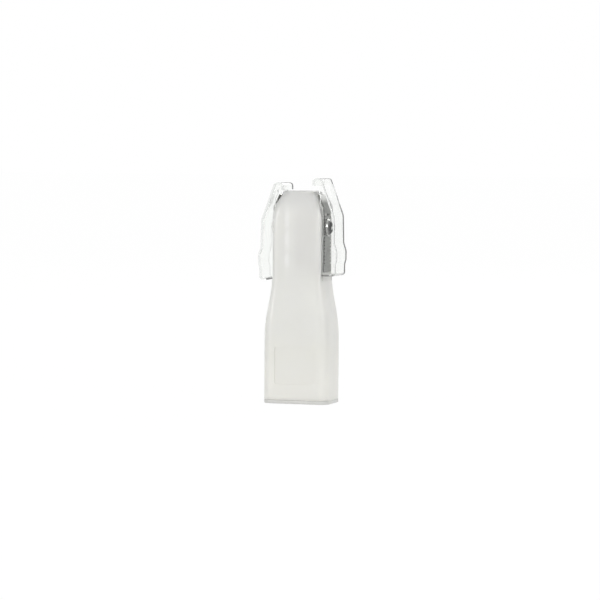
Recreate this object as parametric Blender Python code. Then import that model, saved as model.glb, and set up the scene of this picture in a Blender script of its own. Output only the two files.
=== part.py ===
# Double-sided electric eyebrow trimmer head, the plug-on blade unit of a pen-size trimmer.
# The head stands on its socket mouth. X is its width, Y its depth (front is -Y) and Z is up.
# An eccentric pin in the handle swings a rocker, whose two arms drive the two side cutters up and down.

import math

import bmesh
import bpy
from mathutils import Matrix, Vector

MM = 0.001

# Clearances
SEAT_GAP = 0.12 * MM
RUNNING_GAP = 0.08 * MM
CUT_OVERRUN = 1.0 * MM

# Outside of the housing
SOCKET_WIDTH = 15.0 * MM
SOCKET_DEPTH = 10.4 * MM
SOCKET_CORNER = 2.2 * MM
SOCKET_HEIGHT = 15.0 * MM
SHOULDER_HEIGHT = 13.5 * MM
NECK_WIDTH = 11.44 * MM
NECK_DEPTH = 9.2 * MM
NECK_CORNER = 1.4 * MM
NECK_HEIGHT = 14.5 * MM
CHAMFER_RUN = 1.37 * MM
CHAMFER_RISE = 3.0 * MM
CHAMFER_DEPTH_LOSS = 1.0 * MM
TOP_CORNER = 3.2 * MM
TOP_BLEND_BELOW = 2.5 * MM
CROWN_RISE = 0.6 * MM
CROWN_INSET = 0.9 * MM

# Inside of the housing
SOCKET_WALL = 1.0 * MM
SOCKET_INNER_CORNER = 1.3 * MM
CHANNEL_WIDTH = 10.0 * MM
CHANNEL_DEPTH = 7.0 * MM
CHANNEL_CORNER = 1.0 * MM
CAVITY_WIDTH = 6.6 * MM
CAVITY_CORNER = 0.8 * MM
ROOF_THICKNESS = 3.0 * MM
SEAM_GAP = 0.06 * MM
LABEL_WIDTH = 9.2 * MM
LABEL_HEIGHT = 8.1 * MM
LABEL_BOTTOM_Z = 4.3 * MM
LABEL_RECESS = 0.18 * MM
LABEL_CORNER = 0.6 * MM

# Locating pins of the front shell
DOWEL_RADIUS = 0.55 * MM
DOWEL_LENGTH = 1.1 * MM
DOWEL_SIDE_INSET = 1.15 * MM
DOWEL_ABOVE_LEDGE = 2.4 * MM

# Mouth ring and socket liner
RING_PLATE = 0.7 * MM
RING_LIP_HEIGHT = 1.4 * MM
RING_LIP_WALL = 0.7 * MM
LINER_HEIGHT = 7.9 * MM
LINER_WALL = 0.75 * MM
LINER_CORNER = 1.0 * MM
LINER_ROOF = 0.9 * MM
DRIVE_PORT_WIDTH = 7.4 * MM
DRIVE_PORT_DEPTH = 4.2 * MM
LATCH_CORNER_GAP = 0.58 * MM
LATCH_LENGTH = 4.2 * MM
LATCH_SLIT = 0.35 * MM
LATCH_FOOT = 0.9 * MM
LATCH_RELIEF = 0.3 * MM
LATCH_NUB = 0.3 * MM
LATCH_NUB_HEIGHT = 0.9 * MM

# Blade station on each side of the neck, from the side face inwards
COMB_PROUD = 0.12 * MM
COMB_THICKNESS = 0.32 * MM
COMB_WIDTH = 5.0 * MM
COMB_LIP_LENGTH = 3.0 * MM
COMB_TAB_WIDTH = 2.4 * MM
COMB_TAB_LENGTH = 0.8 * MM
COMB_WINDOW_MARGIN = 0.3 * MM
COMB_WINDOW_HEIGHT = 0.55 * MM
COMB_WINDOW_ABOVE_SCREW = 2.8 * MM
CUTTER_THICKNESS = 0.36 * MM
CUTTER_SET_BACK = 0.1 * MM
CUTTER_LENGTH = 11.9 * MM
CUTTER_TRAVEL = 0.3 * MM
CARRIER_THICKNESS = 0.5 * MM
SPRING_SPACE = 0.5 * MM
SPRING_THICKNESS = 0.12 * MM
SPRING_LENGTH = 6.0 * MM
SPRING_SET_BACK = 0.1 * MM
POCKET_WALL = 1.0 * MM
POCKET_SIDE_GAP = 0.15 * MM
POCKET_LOWER_MARGIN = 0.3 * MM
POCKET_UPPER_MARGIN = 0.5 * MM

# Teeth of comb blade and cutter
TOOTH_PITCH = 0.8 * MM
TOOTH_SLOT = 0.36 * MM
TOOTH_LENGTH = 0.7 * MM
TOOTH_COUNT = 14

# Blade screw and the flanged bush that it holds
SCREW_BELOW_CHAMFER = 4.4 * MM
SCREW_HEAD_RADIUS = 1.95 * MM
SCREW_HEAD_HEIGHT = 1.3 * MM
SCREW_HEAD_RIM = 0.25 * MM
SCREW_SEAT_GAP = 0.03 * MM
SCREW_SHANK_RADIUS = 0.55 * MM
SCREW_SHANK_LENGTH = 2.6 * MM
RECESS_WIDTH = 0.42 * MM
RECESS_SPAN = 1.9 * MM
RECESS_DEPTH = 0.7 * MM
BUSH_RADIUS = 1.0 * MM
BUSH_BORE = 0.65 * MM
BUSH_FLANGE_RADIUS = 1.7 * MM
BUSH_FLANGE_THICKNESS = 0.6 * MM
PEG_RADIUS = 0.45 * MM
PEG_INSET = 0.9 * MM

# Rocker and its pivot
PIVOT_ABOVE_SHOULDER = 4.5 * MM
PIN_RADIUS = 0.72 * MM
PIN_LENGTH = 7.7 * MM
PIVOT_BOSS_RADIUS = 1.7 * MM
ROCKER_HUB_RADIUS = 1.9 * MM
ROCKER_HUB_LENGTH = 3.0 * MM
WASHER_THICKNESS = 0.35 * MM
WASHER_RADIUS = 1.6 * MM
ARM_THICKNESS = 1.3 * MM
ARM_ROOT_HEIGHT = 2.0 * MM
ARM_TIP_RADIUS = 0.4 * MM
TAIL_THICKNESS = 2.0 * MM
TAIL_TOP_WIDTH = 2.6 * MM
TAIL_END_WIDTH = 1.9 * MM
FORK_WIDTH = 4.4 * MM
FORK_GAP = 2.2 * MM
FORK_HEIGHT = 5.2 * MM
FORK_DEPTH = 3.4 * MM
FORK_THICKNESS = 2.8 * MM
FORK_ABOVE_LINER = 0.6 * MM
WINDOW_CLEARANCE = 0.35 * MM

# Clear guards
GUARD_GROOVE_WALL = 0.33 * MM
GUARD_SIDE_WALL = 0.5 * MM
GUARD_WEB = 0.65 * MM
GUARD_GROOVE_DEPTH = 0.7 * MM
GUARD_GROOVE_FLOOR_GAP = 0.15 * MM
GUARD_BELOW_NECK = 1.5 * MM
GUARD_FOOT_REACH = 3.05 * MM
GUARD_FOOT_RADIUS = 0.9 * MM
GUARD_GRIP_ABOVE_FOOT = 3.7 * MM
GUARD_GRIP_HEIGHT = 1.9 * MM
GUARD_GRIP_REACH = 3.36 * MM
GUARD_GRIP_STEP = 0.9 * MM
GUARD_GRIP_FADE = 1.5 * MM
GUARD_GRIP_RADIUS = 1.2 * MM
GUARD_LOWER_REACH = 2.8 * MM
GUARD_KNEE_REACH = 2.66 * MM
GUARD_KNEE_BELOW_CHAMFER = 2.8 * MM
GUARD_TOP_RUN = 0.3 * MM
GUARD_TOP_RADIUS = 0.9 * MM
GUARD_HOOK_RUN = 2.37 * MM
GUARD_HOOK_HEIGHT = 1.65 * MM
GUARD_HOOK_RADIUS = 1.0 * MM
RIGHT_GUARD_LIFT = 1.0 * MM

# Facets
CORNER_STEPS = 6
SHOULDER_STEPS = 9
TOP_BLEND_STEPS = 3
CHAMFER_STEPS = 3
CROWN_STEPS = 3
ROUND_STEPS = 24
SMALL_ROUND_STEPS = 16
ARC_STEPS = 5
SMOOTH_ANGLE = math.radians(32)

# Heights that follow from the sizes above
SHELL_BOTTOM_Z = RING_PLATE + SEAT_GAP
SHOULDER_START_Z = SOCKET_HEIGHT
NECK_START_Z = SHOULDER_START_Z + SHOULDER_HEIGHT
CHAMFER_START_Z = NECK_START_Z + NECK_HEIGHT
CROWN_START_Z = CHAMFER_START_Z + CHAMFER_RISE
BODY_TOP_Z = CROWN_START_Z + CROWN_RISE
LINER_BOTTOM_Z = RING_PLATE + RING_LIP_HEIGHT + SEAT_GAP
LINER_TOP_Z = LINER_BOTTOM_Z + LINER_HEIGHT
LEDGE_Z = LINER_TOP_Z + SEAT_GAP
CAVITY_TOP_Z = BODY_TOP_Z - ROOF_THICKNESS
PIVOT_Z = NECK_START_Z + PIVOT_ABOVE_SHOULDER
SCREW_Z = CHAMFER_START_Z - SCREW_BELOW_CHAMFER
POCKET_BOTTOM_Z = NECK_START_Z + POCKET_LOWER_MARGIN
POCKET_TOP_Z = CHAMFER_START_Z - POCKET_UPPER_MARGIN

# Distances out from the middle of the neck, through the blade station
SIDE_FACE_X = NECK_WIDTH / 2
COMB_OUTER_X = SIDE_FACE_X + COMB_PROUD
COMB_INNER_X = COMB_OUTER_X - COMB_THICKNESS
CUTTER_OUTER_X = COMB_INNER_X - RUNNING_GAP
CUTTER_INNER_X = CUTTER_OUTER_X - CUTTER_THICKNESS
CARRIER_OUTER_X = CUTTER_INNER_X - RUNNING_GAP
CARRIER_INNER_X = CARRIER_OUTER_X - CARRIER_THICKNESS
POCKET_FLOOR_X = CARRIER_INNER_X - SPRING_SPACE
CAVITY_WALL_X = POCKET_FLOOR_X - POCKET_WALL
ARM_TIP_X = CUTTER_INNER_X - RUNNING_GAP - ARM_TIP_RADIUS

# Widths across the blade station and the guard round it
COMB_WINDOW_WIDTH = COMB_WIDTH - 2 * (TOOTH_LENGTH + COMB_WINDOW_MARGIN)
CUTTER_WIDTH = COMB_WIDTH - 2 * CUTTER_SET_BACK
CARRIER_WIDTH = CUTTER_WIDTH - 2 * TOOTH_LENGTH
SPRING_WIDTH = CARRIER_WIDTH - 2 * SPRING_SET_BACK
POCKET_WIDTH = COMB_WIDTH + 2 * POCKET_SIDE_GAP
GUARD_DEPTH = POCKET_WIDTH + 2 * (GUARD_GROOVE_WALL + SEAT_GAP + GUARD_SIDE_WALL)

# Distances down the blade station
CUTTER_BOTTOM_Z = (POCKET_BOTTOM_Z + POCKET_TOP_Z - CUTTER_LENGTH) / 2 + CUTTER_TRAVEL
CUTTER_TOP_Z = CUTTER_BOTTOM_Z + CUTTER_LENGTH
GROOVE_FLOOR_X = SIDE_FACE_X - GUARD_GROOVE_DEPTH
GUARD_BOTTOM_Z = NECK_START_Z - GUARD_BELOW_NECK

MATERIALS = {
    "milky_plastic": ((0.86, 0.87, 0.86), 0.42, 0.0),
    "white_plastic": ((0.90, 0.90, 0.88), 0.45, 0.0),
    "clear_plastic": ((0.93, 0.96, 0.94), 0.08, 0.0),
    "drive_plastic": ((0.82, 0.82, 0.79), 0.40, 0.0),
    "blade_steel": ((0.46, 0.47, 0.46), 0.24, 1.0),
    "bright_steel": ((0.62, 0.62, 0.61), 0.12, 1.0),
    "spring_steel": ((0.52, 0.52, 0.50), 0.30, 1.0),
    "brass": ((0.72, 0.56, 0.28), 0.30, 1.0),
}


# Scene helpers

def clear_scene():
    for item in list(bpy.data.objects):
        bpy.data.objects.remove(item)


def make_material(name):
    colour, roughness, metallic = MATERIALS[name]
    material = bpy.data.materials.get(name) or bpy.data.materials.new(name)
    material.use_nodes = True
    shader = material.node_tree.nodes["Principled BSDF"]
    shader.inputs["Base Color"].default_value = (*colour, 1.0)
    shader.inputs["Roughness"].default_value = roughness
    shader.inputs["Metallic"].default_value = metallic
    return material


def add_object(name, bm, material=None):
    bmesh.ops.recalc_face_normals(bm, faces=bm.faces)
    mesh = bpy.data.meshes.new(name)
    bm.to_mesh(mesh)
    bm.free()
    obj = bpy.data.objects.new(name, mesh)
    bpy.context.scene.collection.objects.link(obj)
    if material:
        mesh.materials.append(make_material(material))
        mesh.shade_smooth()
        mesh.set_sharp_from_angle(angle=SMOOTH_ANGLE)
    return obj


def add_cutter(name, bm):
    obj = add_object(name, bm)
    obj.hide_render = True
    obj.display_type = "WIRE"
    return obj


def combine(obj, tool, operation):
    modifier = obj.modifiers.new(tool.name, "BOOLEAN")
    modifier.operation = operation
    modifier.object = tool
    modifier.solver = "EXACT"


def place(obj, parent, origin):
    """Moves the object's origin to the joint and parents it to the body's empty, its shape kept in place."""
    obj.data.transform(Matrix.Translation(-Vector(origin)))
    obj.location = Vector(origin) - parent.location
    obj.parent = parent


def body_empty(name, origin):
    empty = bpy.data.objects.new(name, None)
    empty.location = origin
    bpy.context.scene.collection.objects.link(empty)
    return empty


# Shapes

def rounded_rectangle(width, depth, corner, steps=CORNER_STEPS):
    """Points of a rectangle with round corners, anticlockwise, centred on zero."""
    corner = min(corner, width / 2, depth / 2)
    points = []
    for quadrant, (sign_x, sign_y) in enumerate([(1, 1), (-1, 1), (-1, -1), (1, -1)]):
        centre_x = sign_x * (width / 2 - corner)
        centre_y = sign_y * (depth / 2 - corner)
        for step in range(steps + 1):
            angle = math.pi / 2 * (quadrant + step / steps)
            points.append((centre_x + corner * math.cos(angle), centre_y + corner * math.sin(angle)))
    return points


def arc(centre, radius, start_deg, end_deg, steps=ARC_STEPS):
    points = []
    for step in range(steps + 1):
        angle = math.radians(start_deg + (end_deg - start_deg) * step / steps)
        points.append((centre[0] + radius * math.cos(angle), centre[1] + radius * math.sin(angle)))
    return points


def loft(sections):
    """A closed solid through level rings, each given as (height, points)."""
    bm = bmesh.new()
    rings = [[bm.verts.new((x, y, z)) for x, y in points] for z, points in sections]
    count = len(rings[0])
    for lower, upper in zip(rings, rings[1:]):
        for i in range(count):
            j = (i + 1) % count
            bm.faces.new((lower[i], lower[j], upper[j], upper[i]))
    bm.faces.new(list(reversed(rings[0])))
    bm.faces.new(rings[-1])
    return bm


def prism(outline, axis, low, high, bm=None):
    """Extrudes an outline along an axis. The outline's points are (y, z), (x, z) or (x, y)."""
    bm = bm or bmesh.new()
    to_space = {
        "X": lambda u, v, w: (w, u, v),
        "Y": lambda u, v, w: (u, w, v),
        "Z": lambda u, v, w: (u, v, w),
    }[axis]
    near = [bm.verts.new(to_space(u, v, low)) for u, v in outline]
    far = [bm.verts.new(to_space(u, v, high)) for u, v in outline]
    count = len(outline)
    for i in range(count):
        j = (i + 1) % count
        bm.faces.new((near[i], near[j], far[j], far[i]))
    bm.faces.new(list(reversed(near)))
    bm.faces.new(far)
    return bm


def box(x_range, y_range, z_range, bm=None):
    outline = [
        (x_range[0], y_range[0]),
        (x_range[1], y_range[0]),
        (x_range[1], y_range[1]),
        (x_range[0], y_range[1]),
    ]
    return prism(outline, "Z", z_range[0], z_range[1], bm)


def circle(centre, radius, steps=SMALL_ROUND_STEPS):
    return arc(centre, radius, 0, 360 * (steps - 1) / steps, steps - 1)


def turned(profile, centre, direction, steps=ROUND_STEPS):
    """Revolves (radius, distance along X) points about an X axis, mirrored for direction -1."""
    bm = bmesh.new()
    rings = []
    for radius, along in profile:
        x = centre[0] + direction * along
        ring = []
        for step in range(steps):
            angle = 2 * math.pi * step / steps
            y = centre[1] + radius * math.cos(angle)
            z = centre[2] + radius * math.sin(angle)
            ring.append(bm.verts.new((x, y, z)))
        rings.append(ring)
    pairs = list(zip(rings, rings[1:] + rings[:1]))
    for first, second in pairs:
        for i in range(steps):
            j = (i + 1) % steps
            bm.faces.new((first[i], first[j], second[j], second[i]))
    return bm


# Housing

def smooth_share(t):
    return t * t * (3 - 2 * t)


def top_section(z):
    """The ring at this height where the neck's faces round off into the chamfered top."""
    share = (z - CHAMFER_START_Z + TOP_BLEND_BELOW) / (CHAMFER_RISE + TOP_BLEND_BELOW)
    chamfer_share = max(0, (z - CHAMFER_START_Z) / CHAMFER_RISE)
    width = NECK_WIDTH - 2 * CHAMFER_RUN * chamfer_share
    depth = NECK_DEPTH - 2 * CHAMFER_DEPTH_LOSS * share ** 2
    return z, rounded_rectangle(width, depth, NECK_CORNER + (TOP_CORNER - NECK_CORNER) * share)


def body_sections():
    """Rings of the bottle-shaped housing: socket, soft shoulder, neck, chamfered and crowned top."""
    sections = [(SHELL_BOTTOM_Z, rounded_rectangle(SOCKET_WIDTH, SOCKET_DEPTH, SOCKET_CORNER))]
    for step in range(SHOULDER_STEPS + 1):
        height_share = step / SHOULDER_STEPS
        blend = smooth_share(height_share)
        width = SOCKET_WIDTH + (NECK_WIDTH - SOCKET_WIDTH) * blend
        depth = SOCKET_DEPTH + (NECK_DEPTH - SOCKET_DEPTH) * blend
        corner = SOCKET_CORNER + (NECK_CORNER - SOCKET_CORNER) * blend
        z = SHOULDER_START_Z + SHOULDER_HEIGHT * height_share
        sections.append((z, rounded_rectangle(width, depth, corner)))
    for step in range(TOP_BLEND_STEPS):
        sections.append(top_section(CHAMFER_START_Z - TOP_BLEND_BELOW * (1 - step / TOP_BLEND_STEPS)))
    for step in range(CHAMFER_STEPS + 1):
        sections.append(top_section(CHAMFER_START_Z + CHAMFER_RISE * step / CHAMFER_STEPS))
    top_width = NECK_WIDTH - 2 * CHAMFER_RUN
    top_depth = NECK_DEPTH - 2 * CHAMFER_DEPTH_LOSS
    for step in range(1, CROWN_STEPS + 1):
        angle = math.pi / 2 * step / CROWN_STEPS
        inset = 2 * CROWN_INSET * (1 - math.cos(angle))
        ring = rounded_rectangle(top_width - inset, top_depth - inset, TOP_CORNER - inset / 2)
        sections.append((CROWN_START_Z + CROWN_RISE * math.sin(angle), ring))
    return sections


def socket_bore():
    ring = rounded_rectangle(
        SOCKET_WIDTH - 2 * SOCKET_WALL, SOCKET_DEPTH - 2 * SOCKET_WALL, SOCKET_INNER_CORNER
    )
    return loft([(SHELL_BOTTOM_Z - CUT_OVERRUN, ring), (LEDGE_Z, ring)])


def drive_channel():
    """The space in which the rocker swings: wide above the liner, narrow in the neck."""
    wide = rounded_rectangle(CHANNEL_WIDTH, CHANNEL_DEPTH, CHANNEL_CORNER)
    narrow = rounded_rectangle(2 * CAVITY_WALL_X, CHANNEL_DEPTH, CAVITY_CORNER)
    return loft([
        (LEDGE_Z - CUT_OVERRUN, wide),
        (SHOULDER_START_Z, wide),
        (NECK_START_Z, narrow),
        (CAVITY_TOP_Z, narrow),
    ])


def blade_pocket(side):
    x_range = sorted((side * POCKET_FLOOR_X, side * (SIDE_FACE_X + CUT_OVERRUN)))
    return box(x_range, (-POCKET_WIDTH / 2, POCKET_WIDTH / 2), (POCKET_BOTTOM_Z, POCKET_TOP_Z))


def chamfer_line(offset):
    """The bend point and upward direction of a face this far outside the side face and the chamfer."""
    slope = math.hypot(CHAMFER_RUN, CHAMFER_RISE)
    lean = math.atan2(CHAMFER_RUN, CHAMFER_RISE)
    bend = Vector((SIDE_FACE_X + offset, CHAMFER_START_Z + offset * math.tan(lean / 2)))
    return bend, Vector((-CHAMFER_RUN / slope, CHAMFER_RISE / slope))


def comb_seat(side):
    """The recess that lets the comb blade's upper end lie flush in the side face and the chamfer."""
    floor, along = chamfer_line(COMB_PROUD - COMB_THICKNESS - SEAT_GAP)
    out = Vector((along.y, -along.x))
    inner_end = floor + along * (COMB_LIP_LENGTH + SEAT_GAP)
    outer_end = inner_end + out * CUT_OVERRUN
    start_z = POCKET_TOP_Z - POCKET_UPPER_MARGIN
    outline = [
        (side * floor.x, start_z),
        (side * (SIDE_FACE_X + CUT_OVERRUN), start_z),
        (side * (SIDE_FACE_X + CUT_OVERRUN), CHAMFER_START_Z),
        (side * outer_end.x, outer_end.y),
        (side * inner_end.x, inner_end.y),
        (side * floor.x, floor.y),
    ]
    return prism(outline, "Y", -POCKET_WIDTH / 2, POCKET_WIDTH / 2)


def guard_grooves(side):
    """Two upright grooves in a side face, open at the top, in which the guard's walls slide."""
    bm = bmesh.new()
    outer_y = GUARD_DEPTH / 2 + SEAT_GAP
    inner_y = GUARD_DEPTH / 2 - GUARD_SIDE_WALL - SEAT_GAP
    x_range = sorted((side * GROOVE_FLOOR_X, side * (SOCKET_WIDTH / 2 + CUT_OVERRUN)))
    for front in (-1, 1):
        y_range = sorted((front * inner_y, front * outer_y))
        box(x_range, y_range, (GUARD_BOTTOM_Z - SEAT_GAP, BODY_TOP_Z + CUT_OVERRUN), bm)
    return bm


def arm_window(side):
    half_height = ARM_TIP_RADIUS + CUTTER_TRAVEL + WINDOW_CLEARANCE
    half_depth = ARM_THICKNESS / 2 + WINDOW_CLEARANCE
    x_range = sorted((side * (CAVITY_WALL_X - CUT_OVERRUN), side * (POCKET_FLOOR_X + SPRING_SPACE)))
    return box(x_range, (-half_depth, half_depth), (PIVOT_Z - half_height, PIVOT_Z + half_height))


def bush_hole(side):
    x_range = sorted((side * (CAVITY_WALL_X - CUT_OVERRUN), side * (POCKET_FLOOR_X + SPRING_SPACE)))
    return prism(circle((0, SCREW_Z), BUSH_RADIUS + RUNNING_GAP), "X", x_range[0], x_range[1])


def dowel_places():
    side_x = SOCKET_WIDTH / 2 - DOWEL_SIDE_INSET
    side_z = LEDGE_Z + DOWEL_ABOVE_LEDGE
    top_z = (CAVITY_TOP_Z + BODY_TOP_Z) / 2
    return [(-side_x, side_z), (side_x, side_z), (0, top_z)]


def make_shell(name, front, cutters, boss, boss_bore, half, dowels):
    shell = add_object(name, loft(body_sections()), "milky_plastic")
    for tool in cutters:
        combine(shell, tool, "DIFFERENCE")
    combine(shell, boss, "UNION")
    combine(shell, boss_bore, "DIFFERENCE")
    combine(shell, half, "DIFFERENCE")
    combine(shell, dowels, "UNION" if front else "DIFFERENCE")
    return shell


def make_housing(parent):
    cutters = [
        add_cutter("cut_socket_bore", socket_bore()),
        add_cutter("cut_drive_channel", drive_channel()),
    ]
    for side, word in ((-1, "left"), (1, "right")):
        cutters.append(add_cutter(f"cut_{word}_pocket", blade_pocket(side)))
        cutters.append(add_cutter(f"cut_{word}_comb_seat", comb_seat(side)))
        cutters.append(add_cutter(f"cut_{word}_grooves", guard_grooves(side)))
        cutters.append(add_cutter(f"cut_{word}_window", arm_window(side)))
        cutters.append(add_cutter(f"cut_{word}_bush_hole", bush_hole(side)))
    for front, name in ((True, "front_shell"), (False, "rear_shell")):
        toward = -1 if front else 1
        boss_end = ROCKER_HUB_LENGTH / 2 + WASHER_THICKNESS + 2 * RUNNING_GAP
        wall_y = CHANNEL_DEPTH / 2
        boss_range = sorted((toward * boss_end, toward * (wall_y + PIN_RADIUS)))
        boss = prism(circle((0, PIVOT_Z), PIVOT_BOSS_RADIUS), "Y", boss_range[0], boss_range[1])
        bore_end = toward * (PIN_LENGTH / 2 + SEAT_GAP)
        bore_range = sorted((toward * (boss_end - CUT_OVERRUN), bore_end))
        bore = prism(circle((0, PIVOT_Z), PIN_RADIUS + RUNNING_GAP), "Y", bore_range[0], bore_range[1])
        away = sorted((-toward * (SOCKET_DEPTH + CUT_OVERRUN), toward * SEAM_GAP / 2))
        half_width = SOCKET_WIDTH / 2 + CUT_OVERRUN
        half = box((-half_width, half_width), away, (-CUT_OVERRUN, BODY_TOP_Z + CUT_OVERRUN))
        shell_cutters = list(cutters)
        if front:
            shell_cutters.append(add_cutter("cut_label", label_recess()))
        shell = make_shell(
            name,
            front,
            shell_cutters,
            add_cutter(f"add_{name}_boss", boss),
            add_cutter(f"cut_{name}_pin_bore", bore),
            add_cutter(f"cut_{name}_half", half),
            add_cutter(f"{name}_dowels", dowel_tools(front)),
        )
        place(shell, parent, (0, 0, 0))


def label_recess():
    """The shallow bare panel low on the front face."""
    outline = [
        (x, z + LABEL_BOTTOM_Z + LABEL_HEIGHT / 2)
        for x, z in rounded_rectangle(LABEL_WIDTH, LABEL_HEIGHT, LABEL_CORNER, ARC_STEPS)
    ]
    face_y = -SOCKET_DEPTH / 2
    return prism(outline, "Y", face_y - CUT_OVERRUN, face_y + LABEL_RECESS)


def dowel_tools(front):
    """Pins that the front shell carries across the seam, or the holes for them in the rear shell."""
    bm = bmesh.new()
    for centre in dowel_places():
        if front:
            prism(circle(centre, DOWEL_RADIUS), "Y", -DOWEL_LENGTH / 2, DOWEL_LENGTH, bm)
        else:
            hole_depth = DOWEL_LENGTH + SEAT_GAP
            prism(circle(centre, DOWEL_RADIUS + SEAT_GAP), "Y", -CUT_OVERRUN, hole_depth, bm)
    return bm


def make_mouth_ring(parent):
    """The ring at the socket mouth. Its lip stands inside both shells and holds them together."""
    lip_width = SOCKET_WIDTH - 2 * SOCKET_WALL - 2 * SEAT_GAP
    lip_depth = SOCKET_DEPTH - 2 * SOCKET_WALL - 2 * SEAT_GAP
    plate = rounded_rectangle(SOCKET_WIDTH, SOCKET_DEPTH, SOCKET_CORNER)
    lip = rounded_rectangle(lip_width, lip_depth, SOCKET_INNER_CORNER)
    lip_top = RING_PLATE + RING_LIP_HEIGHT
    ring = add_object("mouth_ring", loft([(0, plate), (RING_PLATE, plate)]), "white_plastic")
    combine(ring, add_cutter("add_ring_lip", loft([(RING_PLATE / 2, lip), (lip_top, lip)])), "UNION")
    inner = rounded_rectangle(
        lip_width - 2 * RING_LIP_WALL, lip_depth - 2 * RING_LIP_WALL, LINER_CORNER
    )
    opening = loft([(-CUT_OVERRUN, inner), (lip_top + CUT_OVERRUN, inner)])
    combine(ring, add_cutter("cut_ring_opening", opening), "DIFFERENCE")
    place(ring, parent, (0, 0, 0))


def make_socket_liner(parent):
    """The cup that takes the handle's stub, with a latch tongue in each end wall."""
    width = SOCKET_WIDTH - 2 * SOCKET_WALL - 2 * SEAT_GAP
    depth = SOCKET_DEPTH - 2 * SOCKET_WALL - 2 * SEAT_GAP
    latch_width = depth - 2 * (LINER_WALL + LINER_CORNER + LATCH_CORNER_GAP + LATCH_SLIT)
    outside = rounded_rectangle(width, depth, SOCKET_INNER_CORNER)
    inside = rounded_rectangle(width - 2 * LINER_WALL, depth - 2 * LINER_WALL, LINER_CORNER)
    block = loft([(LINER_BOTTOM_Z, outside), (LINER_TOP_Z, outside)])
    liner = add_object("socket_liner", block, "white_plastic")
    inside_top = LINER_TOP_Z - LINER_ROOF
    hollow = loft([(LINER_BOTTOM_Z - CUT_OVERRUN, inside), (inside_top, inside)])
    combine(liner, add_cutter("cut_liner_hollow", hollow), "DIFFERENCE")
    port = rounded_rectangle(DRIVE_PORT_WIDTH, DRIVE_PORT_DEPTH, DRIVE_PORT_DEPTH / 2)
    port_cut = loft([(inside_top - CUT_OVERRUN, port), (LINER_TOP_Z + CUT_OVERRUN, port)])
    combine(liner, add_cutter("cut_drive_port", port_cut), "DIFFERENCE")
    slit_bottom = LINER_BOTTOM_Z + LATCH_FOOT
    slit_top = slit_bottom + LATCH_LENGTH
    half_width = latch_width / 2
    for side, word in ((-1, "left"), (1, "right")):
        inner_x = width / 2 - LINER_WALL
        through = sorted((side * (inner_x - CUT_OVERRUN), side * (width / 2 + CUT_OVERRUN)))
        slit_outline = [
            (-half_width - LATCH_SLIT, slit_top),
            (-half_width - LATCH_SLIT, slit_bottom - LATCH_SLIT),
            (half_width + LATCH_SLIT, slit_bottom - LATCH_SLIT),
            (half_width + LATCH_SLIT, slit_top),
            (half_width, slit_top),
            (half_width, slit_bottom),
            (-half_width, slit_bottom),
            (-half_width, slit_top),
        ]
        slit = prism(slit_outline, "X", through[0], through[1])
        combine(liner, add_cutter(f"cut_{word}_latch_slit", slit), "DIFFERENCE")
        relief_x = sorted((side * (width / 2 - LATCH_RELIEF), side * (width / 2 + CUT_OVERRUN)))
        relief_half = half_width + LATCH_SLIT / 2
        relief_z = (slit_bottom - LATCH_SLIT / 2, slit_top - LATCH_SLIT / 2)
        relief = box(relief_x, (-relief_half, relief_half), relief_z)
        combine(liner, add_cutter(f"cut_{word}_latch_relief", relief), "DIFFERENCE")
        nub_outline = [
            (side * (inner_x + LATCH_SLIT), slit_bottom + LATCH_SLIT),
            (side * (inner_x - LATCH_NUB), slit_bottom + LATCH_SLIT + LATCH_NUB_HEIGHT / 2),
            (side * (inner_x + LATCH_SLIT), slit_bottom + LATCH_SLIT + LATCH_NUB_HEIGHT),
        ]
        nub = prism(nub_outline, "Y", -half_width + LATCH_SLIT, half_width - LATCH_SLIT)
        combine(liner, add_cutter(f"add_{word}_latch_nub", nub), "UNION")
    place(liner, parent, (0, 0, 0))


# Blade stations

def tooth_heights():
    """Heights of the slot centres, level with each other on comb blade and cutter at rest."""
    middle = (CUTTER_BOTTOM_Z + CUTTER_TOP_Z) / 2
    first = middle - TOOTH_PITCH * (TOOTH_COUNT - 1) / 2
    return [first + TOOTH_PITCH * i for i in range(TOOTH_COUNT)]


def tooth_slots(side, width, inner_x, outer_x):
    """Slots in from both long edges of a blade, as one cutter."""
    bm = bmesh.new()
    x_range = sorted((side * (inner_x - CUTTER_THICKNESS / 3), side * (outer_x + CUTTER_THICKNESS / 3)))
    for z in tooth_heights():
        for front in (-1, 1):
            edge_y = width / 2
            y_range = sorted((front * (edge_y - TOOTH_LENGTH), front * (edge_y + CUT_OVERRUN)))
            box(x_range, y_range, (z - TOOTH_SLOT / 2, z + TOOTH_SLOT / 2), bm)
    return bm


def slot_outline(half_height, half_width, centre_z):
    """An upright slot with round ends, as (y, z) points."""
    straight = max(half_height - half_width, 0)
    upper = arc((0, centre_z + straight), half_width, 0, 180)
    return upper + arc((0, centre_z - straight), half_width, 180, 360)


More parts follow.
